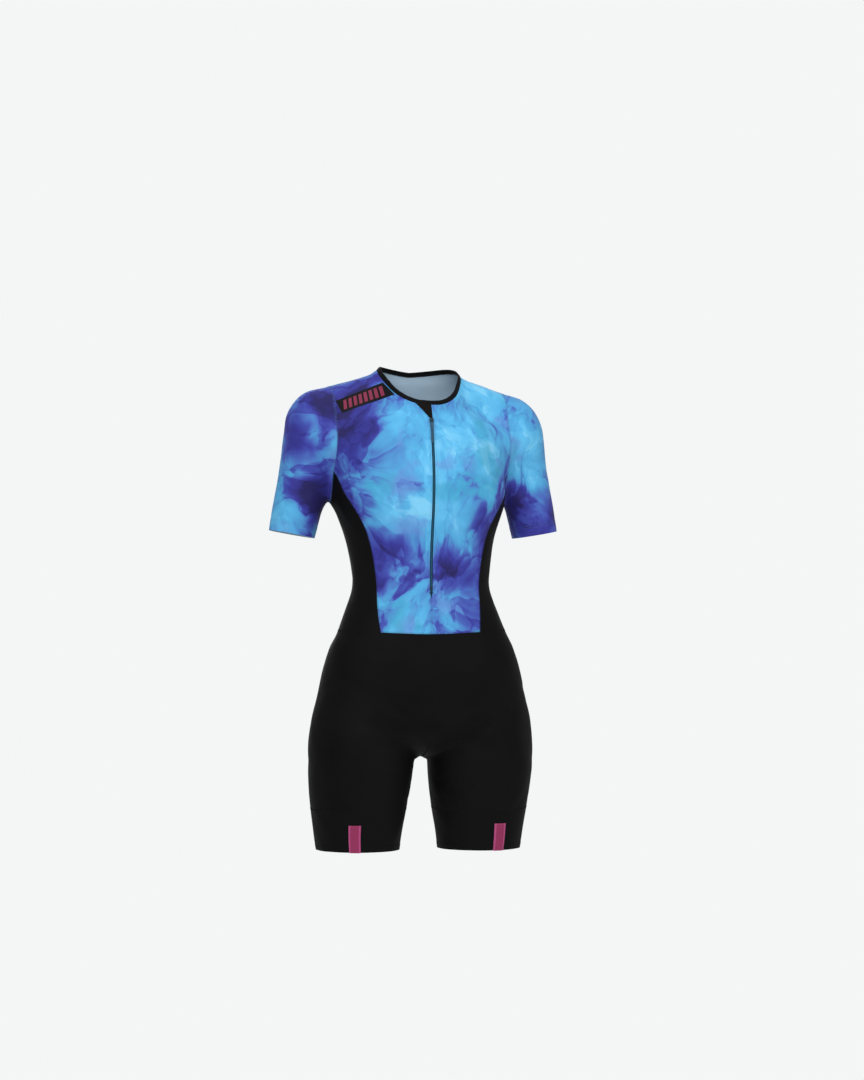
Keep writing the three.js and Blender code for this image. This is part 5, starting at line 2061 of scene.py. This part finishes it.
@dataclass
class Shorts:
    """Leg panels, elastic bands and hem tabs, with their sewing."""

    cut: Cut
    sheeting: Sheeting
    sewing: Sewing
    wardrobe: Wardrobe
    band_thick: float = 1.2
    hem_fold: float = 7.5
    hem_edge: tuple[float, float] = (2.4, 3.6)
    hem_raise: float = 0.3
    tab_turn: float = 14.5
    tab_width: float = 19.0
    tab_top: float = 46.0
    tab_bottom: float = 0.4
    tab_columns: int = 18
    tab_rows: int = 36
    tab_lift: float = 1.35
    tab_pressed: float = 0.45
    tab_rim: float = 2.5
    tab_thick: float = 0.8
    leg_radius: float = 72.0

    def build(self) -> None:
        """Builds the panels, the bands, the tabs and the sewing."""
        w, cut, piece = self.wardrobe, self.cut, self.sheeting.piece
        band = cut.leg_band[:, :-1]
        hem_edge = (self.hem_fold + more for more in self.hem_edge)
        fold = self.hem_raise * (1.0 - smoothstep(band[..., 2] - cut.hem_z, *hem_edge))
        black, elastic = [w.black, w.black_reverse], [w.band, w.black_reverse]
        for side, sign in LEFT_RIGHT:
            node, grid = f"shorts_{side}", mirrored(cut.shorts, sign)
            piece(f"{node}_panel", node, grid, black, "black_knit")
            node, grid, how = f"leg_band_{side}", mirrored(band, sign), (fold, self.band_thick)
            piece(f"{node}_panel", node, grid, elastic, "gripper_band", *how, closed=True)
            self.tab(side, sign)
        self.seams()

    def tab(self, side: str, sign: float) -> None:
        """A plain woven tab over the band, with its rim pressed flat and sewn down.

        Args:
            side: the wearer's side.
            sign: 1 for the left and -1 for the right.
        """
        w, cut, node = self.wardrobe, self.cut, f"hem_tab_{side}"
        spread = math.degrees(self.tab_width / 2 / self.leg_radius)
        turns, middle = lerp(-spread, spread, steps(self.tab_columns)), self.tab_columns / 2
        u, v = np.meshgrid(turns, steps(self.tab_rows))
        z = lerp(cut.hem_z + self.tab_top, cut.hem_z - self.tab_bottom, v)
        grid = cut.figure.leg_point(z, self.tab_turn + u)
        rim = middle - np.abs(np.arange(self.tab_columns + 1) - middle)[None]
        rim = np.minimum(rim, v * self.tab_rows + 1)
        lift = self.tab_lift - self.tab_pressed * (1.0 - smoothstep(rim, 0.0, self.tab_rim))
        weave, how = [w.tab, w.tab], (lift, self.tab_thick)
        turned = mirrored(grid, sign)
        self.sheeting.piece(f"{node}_weave", node, turned, weave, "pink_tab", *how, stretched=False)
        sewing = replace(self.sewing, radius=0.00016, pitch=0.0019, length=0.0015, lift=1.38)
        ring = np.concatenate([turned[-3:0:-1, 1], turned[1, 1:-1], turned[1:-2, -2]])
        thread = w.pink_thread, "pink_tab"
        sewing.sew(f"{node}_sewing", [ring], Stitch.SINGLE, *thread, both=False)

    def seams(self) -> None:
        """The waist, rise, inseam and band seams, and the cover stitch of the leg hems."""
        cut, flat, thread = self.cut, Stitch.FLATLOCK, self.wardrobe.black_thread
        black = flat, thread, "black_knit"
        waist = cut.joined(cut.waist_front, cut.waist_side, cut.waist_back)
        self.sewing.sew("waist_seam_sewing", [waist], *black)
        rise = cut.joined(cut.front_rise, cut.back_rise[::-1])
        self.sewing.sew("rise_seam_sewing", [rise], *black, both=False)
        band_seam, hem = cut.leg_rings(np.array([cut.band_z, cut.hem_z + self.hem_fold]))
        self.sewing.sew("leg_seam_sewing", [cut.inseam, band_seam], *black)
        raised = self.sewing.raised(self.hem_raise)
        raised.sew("leg_hem_sewing", [hem], Stitch.COVER, thread, "gripper_band")


@dataclass
class Neck:
    """The neck binding, the zip guard and the transfer on the shoulder."""

    cut: Cut
    sheeting: Sheeting
    sewing: Sewing
    wardrobe: Wardrobe
    end_x: float = 0.2
    binding_rows: int = 12
    binding_lift: float = 0.62
    binding_roll: float = 0.75
    binding_dome: float = 0.10
    binding_thick: float = 1.9
    binding_sewn: float = 0.80
    guard_x: Point = (-25.0, -3.2, 2.2)
    guard_curve: float = 0.8
    guard_tuck: float = 0.4
    guard_tip_z: float = -85.2
    guard_grid: tuple[int, int] = (24, 26)
    guard_lift: float = 1.5
    guard_pressed: float = 0.35
    guard_rim: float = 2.0
    guard_thick: float = 1.0
    film_top: tuple[tuple[float, float], ...] = ((-149.5, -60.5), (-68.5, -26.3))
    film_low: tuple[tuple[float, float], ...] = ((-139.5, -80.4), (-54.0, -47.2))
    film_grid: tuple[int, int] = (44, 12)
    film_lifts: tuple[float, float] = (0.22, 0.02)
    film_length: float = 0.088
    film_height: float = 0.024

    def build(self) -> None:
        """Builds the pieces and their sewing."""
        self.binding()
        self.guard()
        self.transfer()

    def binding(self) -> None:
        """A folded band round the neck: domed by a sine, its edges rolled under by a power."""
        cut, w = self.cut, self.wardrobe
        rows = []
        for v in steps(self.binding_rows):
            row = cut.figure.settle(lerp(cut.neck_top, cut.neck_seam, v))
            start = cut.figure.front_point(self.end_x, row[0, 2])
            half = np.concatenate([start[None], row])
            rows.append(np.concatenate([half, mirrored(half[-2::-1])]))
        grid = np.array(rows)
        v = steps(self.binding_rows)[:, None]
        lift = self.binding_lift - self.binding_roll * np.abs(2 * v - 1) ** 5
        lift = lift + self.binding_dome * np.sin(np.pi * v)
        cloth, how = [w.binding, w.binding], (lift, self.binding_thick)
        name, node = "neck_binding_band", "neck_binding"
        self.sheeting.piece(name, node, grid, cloth, "binding", *how, folded=2.0)
        low = cut.figure.settle(lerp(cut.neck_top, cut.neck_seam, self.binding_sewn))
        sewing = replace(self.sewing, radius=0.00018, pitch=0.0024, length=0.0018, lift=0.60)
        sewing.sew("neck_binding_sewing", [low], Stitch.SINGLE, w.black_thread, "binding")

    def guard(self) -> None:
        """The cloth guard over the top of the zip; its long edge slants from the binding down."""
        cut, w, (columns, rows) = self.cut, self.wardrobe, self.guard_grid
        other_side = mirrored(cut.neck_seam[: cut.neck_front + 1][::-1])
        seam = np.concatenate([other_side, cut.neck_seam[1 : 2 * FINE]])
        u, v = np.meshgrid(steps(columns), steps(rows))
        x = lerp(lerp(*self.guard_x[:2], v**self.guard_curve), self.guard_x[2], u)
        top = np.interp(x, seam[:, 0], seam[:, 2]) + self.guard_tuck
        z = lerp(top, self.guard_tip_z, v)
        grid = cut.figure.front_point(x, z)
        rim = np.minimum(np.minimum(u * columns, (1 - u) * columns), (1 - v) * rows)
        lift = self.guard_lift - self.guard_pressed * (1.0 - smoothstep(rim, 0.0, self.guard_rim))
        cloth, how = [w.guard, w.guard], (lift, self.guard_thick)
        name, node = "zip_guard_cloth", "zip_guard"
        self.sheeting.piece(name, node, grid, cloth, "binding", *how, stretched=False)
        sewing = replace(self.sewing, radius=0.00017, pitch=0.0022, length=0.0017, lift=1.52)
        edge, thread = cut.figure.front_point(x[:-2, 2], z[:-2, 2]), w.black_thread
        sewing.sew("zip_guard_sewing", [edge], Stitch.SINGLE, thread, "binding", both=False)

    def transfer(self) -> None:
        """A film band on the wearer's right shoulder, with an even rectangle of bars laid on it."""
        cloth, (columns, rows) = self.sheeting.cloth, self.film_grid
        u, v = np.meshgrid(steps(columns), steps(rows))
        edges = [lerp(*np.array(ends), u[..., None]) for ends in (self.film_top, self.film_low)]
        flat = lerp(*edges, v[..., None])
        grid = self.cut.figure.front_point(flat[..., 0], flat[..., 1])
        faces = (cloth.placed(grid, lift) for lift in self.film_lifts)
        made = wall("shoulder_transfer_film", *faces, [self.wardrobe.transfer])
        corner = np.empty(len(made.data.loops), np.int32)
        made.data.loops.foreach_get("vertex_index", corner)
        row, column = np.divmod(corner % u.size, u.shape[1])
        across = (column / columns - 0.5) * self.film_length
        even = np.stack([across, (0.5 - row / rows) * self.film_height], -1)
        made.data.uv_layers[0].data.foreach_set("uv", even.astype(np.float32).ravel())
        dressed(made)


@dataclass
class Zip:
    """Tapes, coil, stop, slider and pull tab of the front zip."""

    cut: Cut
    cloth: Cloth
    sheeting: Sheeting
    sewing: Sewing
    wardrobe: Wardrobe
    slider_z: float = -90.0
    stop_z: float = -370.0
    tape_half: float = 11.0
    tape_tuck: float = 11.0
    tape_under_neck: float = 0.8
    tape_grid: tuple[int, int] = (16, 150)
    tape_gap: tuple[float, float] = (0.15, 1.7)
    tape_parts: tuple[float, float] = (-8.0, 1.0)
    tape_faces: tuple[float, float] = (-1.6, -2.3)
    tape_rib: float = 0.12
    rib_edges: tuple[float, float, float, float] = (0.06, 0.10, 0.16, 0.20)
    tooth_pitch: float = 1.35
    under_slider: float = 4.2
    loop_reach: tuple[float, float] = (2.1, -0.75)
    loop_swell: tuple[float, ...] = (0.45, 0.8, 0.9, 0.9, 0.95, 1.15, 1.1, 0.35)
    loop_size: tuple[float, float] = (0.80, 0.44)
    loop_around: int = 6
    loop_depth: float = -0.42
    stitch_x: float = 2.6
    foot_width: float = 9.0
    foot_rows: Point = (-1.2, -0.4, 0.4)
    pull_length: float = 40.0
    pull_lies: tuple[float, float] = (0.96, 1.9)
    pivot_up: float = -0.55
    pivot_out: float = 3.2
    grip_y: Point = (15.0, 36.1, 1.9)
    grip_size: Point = (1.75, 0.5, 1.12)
    grip_end: tuple[float, float] = (1.76, 0.02)
    grip_around: int = 10

    def frame(self, z: Array) -> tuple[Array, Array, Array]:
        """The zip's line on the even form, straight between its points.

        Args:
            z: heights.

        Returns:
            Its places there, and the directions up it and out of it.
        """
        z = np.asarray(z, float)
        edge = self.cut.zip_edge
        k = np.clip((edge[:, 2][None, :] > z.reshape(-1, 1)).sum(1), 1, len(edge) - 1)
        a, b = edge[k - 1], edge[k]
        t = (z.reshape(-1) - a[:, 2]) / (b[:, 2] - a[:, 2])
        point = lerp(a, b, t[:, None]) * NO_X
        up = unit((a - b) * NO_X)
        out = np.stack([np.zeros(len(up)), -up[:, 2], up[:, 1]], -1)
        return tuple(value.reshape(z.shape + (3,)) for value in (point, up, out))

    def at(self, z: Array, x: Array, depth: Array | float) -> Array:
        """Places beside the zip's line, in metres.

        Args:
            z: height.
            x: distance from the line.
            depth: millimetres out from the cloth's face.

        Returns:
            Points that follow the front of the form across the zip.
        """
        z, x, depth = arrays(z, x, depth)
        point, _, out = self.frame(z)
        front = self.cut.figure.front_point
        back = front(np.abs(x), z)[..., 1] - front(np.zeros_like(x), z)[..., 1]
        moved = point + out * depth[..., None] + np.stack([x, back, np.zeros_like(x)], -1)
        return MM * self.cloth.posed(moved)

    def build(self) -> None:
        """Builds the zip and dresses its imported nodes."""
        self.tapes()
        self.coil()
        self.topstitch()
        self.grip()
        slider, pull = self.wardrobe.slider, self.wardrobe.pull
        for node, finish in (("zip_slider", slider), ("zip_stop", slider), ("zip_pull", pull)):
            packed = bpy.data.objects[node]
            packed.data.materials.clear()
            packed.data.materials.append(finish)

    def tapes(self) -> None:
        """The two ribbed woven tapes behind the fronts, which part at the slider."""
        columns, rows = self.tape_grid
        top = self.cut.neck_seam[0, 2] - self.tape_under_neck
        z = lerp(top, self.cut.tape_end_z - self.tape_tuck, steps(rows))
        parting = smoothstep(z, *(self.slider_z + more for more in self.tape_parts))
        gap = lerp(*self.tape_gap, parting)[:, None]
        u, height = np.meshgrid(steps(columns), z)
        rise, fall = self.rib_edges[:2], self.rib_edges[2:]
        rib = self.tape_rib * smoothstep(u, *rise) * (1 - smoothstep(u, *fall))
        for side, sign in LEFT_RIGHT:
            x = sign * lerp(gap, self.tape_half, u)
            outer = self.at(height, x, self.tape_faces[0] + rib)
            inner = self.at(height, x, self.tape_faces[1])
            made = wall(f"zip_tape_{side}_weave", outer, inner, [self.wardrobe.tape])
            self.sheeting.declare(dressed(made, f"zip_tape_{side}"), outer)

    def coil(self) -> None:
        """The closed coil: loops from both tapes in turn, each a flattened tube across the line.

        A loop's section is an ellipse. Its middle runs from the tape's side up over the line and a
        little past it, where its head is wider.
        """
        first = self.slider_z - self.under_slider
        z = np.arange(first, self.stop_z + 0.5, -self.tooth_pitch / 2)
        sign = np.where(np.arange(len(z)) % 2, 1.0, -1.0)
        swell = np.array(self.loop_swell)[:, None]
        turns = 2 * np.pi * np.arange(self.loop_around) / self.loop_around
        out, up = self.loop_size
        x = sign[:, None, None] * lerp(*self.loop_reach, steps(len(swell) - 1))[:, None]
        depth = self.loop_depth + out * swell * np.sin(turns)
        points = self.at(z[:, None, None] + up * swell * np.cos(turns), x, depth)
        faces = tube_faces(len(z), len(swell), len(turns))
        owner = faces[:, 0] // swell.size // turns.size
        faces = np.where((sign[owner] > 0)[:, None], faces, faces[:, ::-1])
        coil = [self.wardrobe.coil]
        made = add_mesh("zip_coil_teeth", points.reshape(-1, 3), faces, coil, sharp=70.0)
        dressed(made, "zip_chain")

    def topstitch(self) -> None:
        """A row of stitches down each front beside the zip, and the bar that closes its foot."""
        cut, w, front, single = self.cut, self.wardrobe, self.cut.figure.front_point, Stitch.SINGLE
        z = cut.zip_edge[cut.zip_edge[:, 2] > cut.tape_end_z + 1.0][:, 2]
        line = front(np.full_like(z, cut.zip_edge_x + self.stitch_x), z)
        raised = self.sewing.raised(Bodice.zip_raise)
        raised.sew("zip_sewing", [line], single, w.blue_thread, "printed_knit")
        x = np.linspace(-self.foot_width / 2, self.foot_width / 2, 40)
        bars = [front(x, cut.tape_end_z + dz) for dz in self.foot_rows]
        dense = replace(self.sewing, radius=0.0002, pitch=0.0015, length=0.0016, lift=0.3)
        dense.sew("zip_foot_sewing", bars, single, w.black_thread, "zip_tape", both=False)

    def slider_matrix(self) -> Matrix:
        """The slider's frame: x across, y up the zip and z out of it, in millimetres.

        Returns:
            The matrix from that frame to the pose.
        """
        point, _, out = self.frame(np.array(self.slider_z))
        here = self.cloth.posed(point)
        x = unit(self.cloth.posed(point + np.array([1.0, 0.0, 0.0])) - here)
        up = unit(np.cross(out, x))
        axes = np.stack([x, up, np.cross(x, up), here], -1)
        return Matrix([*axes.tolist(), [0.0, 0.0, 0.0, 1.0]])

    def grip(self) -> None:
        """Ribs moulded across both faces of the pull tab.

        A rib is a bar with rounded ends whose section is an ellipse, at even steps down the tab.
        The tab hangs from its pivot to a place a little out from the zip's line.
        """
        slider, (down, off) = self.slider_matrix(), self.pull_lies
        tip_z = self.slider_z + self.pivot_up - down * self.pull_length
        point, _, out = self.frame(np.array(tip_z))
        target = slider.inverted() @ Vector(self.cloth.posed(point + out * off))
        lean = math.atan2(self.pivot_out - target.z, self.pivot_up - target.y)
        pivot = Matrix.Translation((0.0, self.pivot_up, self.pivot_out))
        tab = slider @ pivot @ Matrix.Rotation(lean, 4, "X")
        y = -np.arange(*self.grip_y)
        turns = 2 * np.pi * np.arange(self.grip_around) / self.grip_around
        half, wide, deep = self.grip_size
        x = half * np.cos(np.pi * steps(8))[:, None]
        end, least = self.grip_end
        swell = np.sqrt(np.maximum(1 - np.abs(x / end) ** 6, least))
        rib_y = y[:, None, None] + wide * swell * np.cos(turns)
        local = np.stack(arrays(x, rib_y, deep * swell * np.sin(turns)), -1).reshape(-1, 3)
        points = MM * (local @ np.array(tab.to_3x3()).T + np.array(tab.to_translation()))
        faces, pull = tube_faces(len(y), len(x), len(turns))[:, ::-1], [self.wardrobe.pull]
        made = add_mesh("zip_pull_ribs", points, faces, pull, sharp=50.0)
        dressed(made, body="zip_pull")


@dataclass(frozen=True)
class Lamp:
    """A soft square light that aims at the suit."""

    name: str
    place: Point
    size: float
    watts: float
    colour: Point = (1.0, 1.0, 1.0)

    def light(self, aim: Vector) -> None:
        """Adds the light.

        Args:
            aim: the place that it points at.
        """
        data = bpy.data.lights.new(self.name, "AREA")
        data.shape, data.size = "SQUARE", self.size
        data.energy, data.color = self.watts, self.colour
        made = linked(bpy.data.objects.new(self.name, data))
        made.location = self.place
        made.rotation_euler = (aim - made.location).to_track_quat("-Z", "Y").to_euler()


@dataclass
class Studio:
    """Camera, soft lights, pale surroundings and floor."""

    turn: float = -12.0
    distance: float = 6.0
    aim_across: float = 0.022
    aim_height: float = -0.2907
    lit_height: float = -0.35
    focal: float = 117.6
    sensor: float = 36.0
    floor_z: float = -1.45
    floor_radius: float = 1.2
    floor_rings: tuple[float, ...] = (0.02, 0.4, 0.8, 1.0)
    floor_around: int = 96
    backdrop: Colour = ink(244, 246, 246)
    ambient: float = 0.46
    lamps: tuple[Lamp, ...] = (
        Lamp("key", (-1.9, -4.2, 1.5), 1.8, 105.0),
        Lamp("fill", (2.6, -3.8, 0.2), 2.4, 44.0),
        Lamp("top", (0.2, -0.6, 3.0), 2.0, 30.0),
        Lamp("rear", (0.4, 3.7, 0.8), 2.6, 44.0),
    )

    def build(self) -> None:
        """Sets up the studio."""
        angle = math.radians(self.turn)
        right = Vector((math.cos(angle), math.sin(angle), 0.0))
        ahead = Vector((-math.sin(angle), math.cos(angle), 0.0))
        aim = right * self.aim_across + Vector((0.0, 0.0, self.aim_height))
        self.camera(aim - ahead * self.distance, angle)
        for lamp in self.lamps:
            lamp.light(Vector((0.0, 0.0, self.lit_height)))
        self.world()
        self.floor()
        bpy.context.scene.view_settings.view_transform = "Standard"
        bpy.context.scene.view_settings.look = "None"

    def camera(self, place: Vector, angle: float) -> None:
        """Sets the camera level.

        Args:
            place: where it stands.
            angle: its turn to the left, in radians.
        """
        data = bpy.data.cameras.new("camera")
        data.sensor_fit, data.sensor_height, data.lens = "VERTICAL", self.sensor, self.focal
        data.clip_start, data.clip_end = 0.05, 50.0
        made = linked(bpy.data.objects.new("camera", data))
        made.location = place
        made.rotation_euler = (math.pi / 2, 0.0, angle)
        bpy.context.scene.camera = made

    def world(self) -> None:
        """Pale surroundings, dimmer as light than as backdrop."""
        world = bpy.data.worlds.new("studio")
        world.use_nodes = True
        bpy.context.scene.world = world
        tree = world.node_tree
        tree.nodes.clear()
        seen, lit = (tree.nodes.new("ShaderNodeBackground") for _ in range(2))
        seen.inputs["Color"].default_value = self.backdrop
        lit.inputs["Color"].default_value = (1.0, 1.0, 1.0, 1.0)
        lit.inputs["Strength"].default_value = self.ambient
        path = tree.nodes.new("ShaderNodeLightPath")
        mix = tree.nodes.new("ShaderNodeMixShader")
        out = tree.nodes.new("ShaderNodeOutputWorld")
        tree.links.new(path.outputs["Is Camera Ray"], mix.inputs[0])
        tree.links.new(lit.outputs[0], mix.inputs[1])
        tree.links.new(seen.outputs[0], mix.inputs[2])
        tree.links.new(mix.outputs[0], out.inputs[0])

    def floor(self) -> None:
        """A round floor of paper well under the suit: rings of points with a closed middle."""
        around = self.floor_around
        turns = 2 * np.pi * np.arange(around) / around
        radius = np.array(self.floor_rings) * self.floor_radius
        ring = np.stack([np.cos(turns), np.sin(turns)], -1)
        flat = (radius[:, None, None] * ring[None]).reshape(-1, 2)
        flat = np.concatenate([flat, [[0.0, 0.0]]])
        points = np.concatenate([flat, np.full((len(flat), 1), self.floor_z)], axis=1)
        ci, cj = grid_corners(len(radius), around, True)
        faces = (ci * around + cj % around).tolist()
        faces += [[len(flat) - 1, k, (k + 1) % around] for k in range(around)]
        mesh = bpy.data.meshes.new("studio_floor")
        mesh.from_pydata(points.tolist(), [], faces)
        mesh.materials.append(Paper().make())
        linked(bpy.data.objects.new("studio_floor", mesh))


def main() -> None:
    """Builds the suit on its frame, and the studio round it."""
    logging.basicConfig(level=logging.INFO, format="%(name)s: %(message)s")
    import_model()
    figure = Figure()
    cloth, cut = Cloth(figure), Cut(figure)
    counts = (grid[..., 0].size for grid in (cut.front, cut.shorts))
    log.info("cut: %d points in the front, %d in the shorts", *counts)
    wardrobe = Wardrobe()
    sheeting, sewing = Sheeting(cloth), Sewing(cloth)
    Studio().build()
    for made in (Bodice, Shorts, Neck):
        made(cut, sheeting, sewing, wardrobe).build()
    Zip(cut, cloth, sheeting, sewing, wardrobe).build()
    for name, measures in sheeting.cuts.items():
        log.info("%s is cut %.3f by %.3f m, %.4f square metres", name, *measures)
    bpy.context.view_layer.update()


if __name__ == "__main__":
    main()
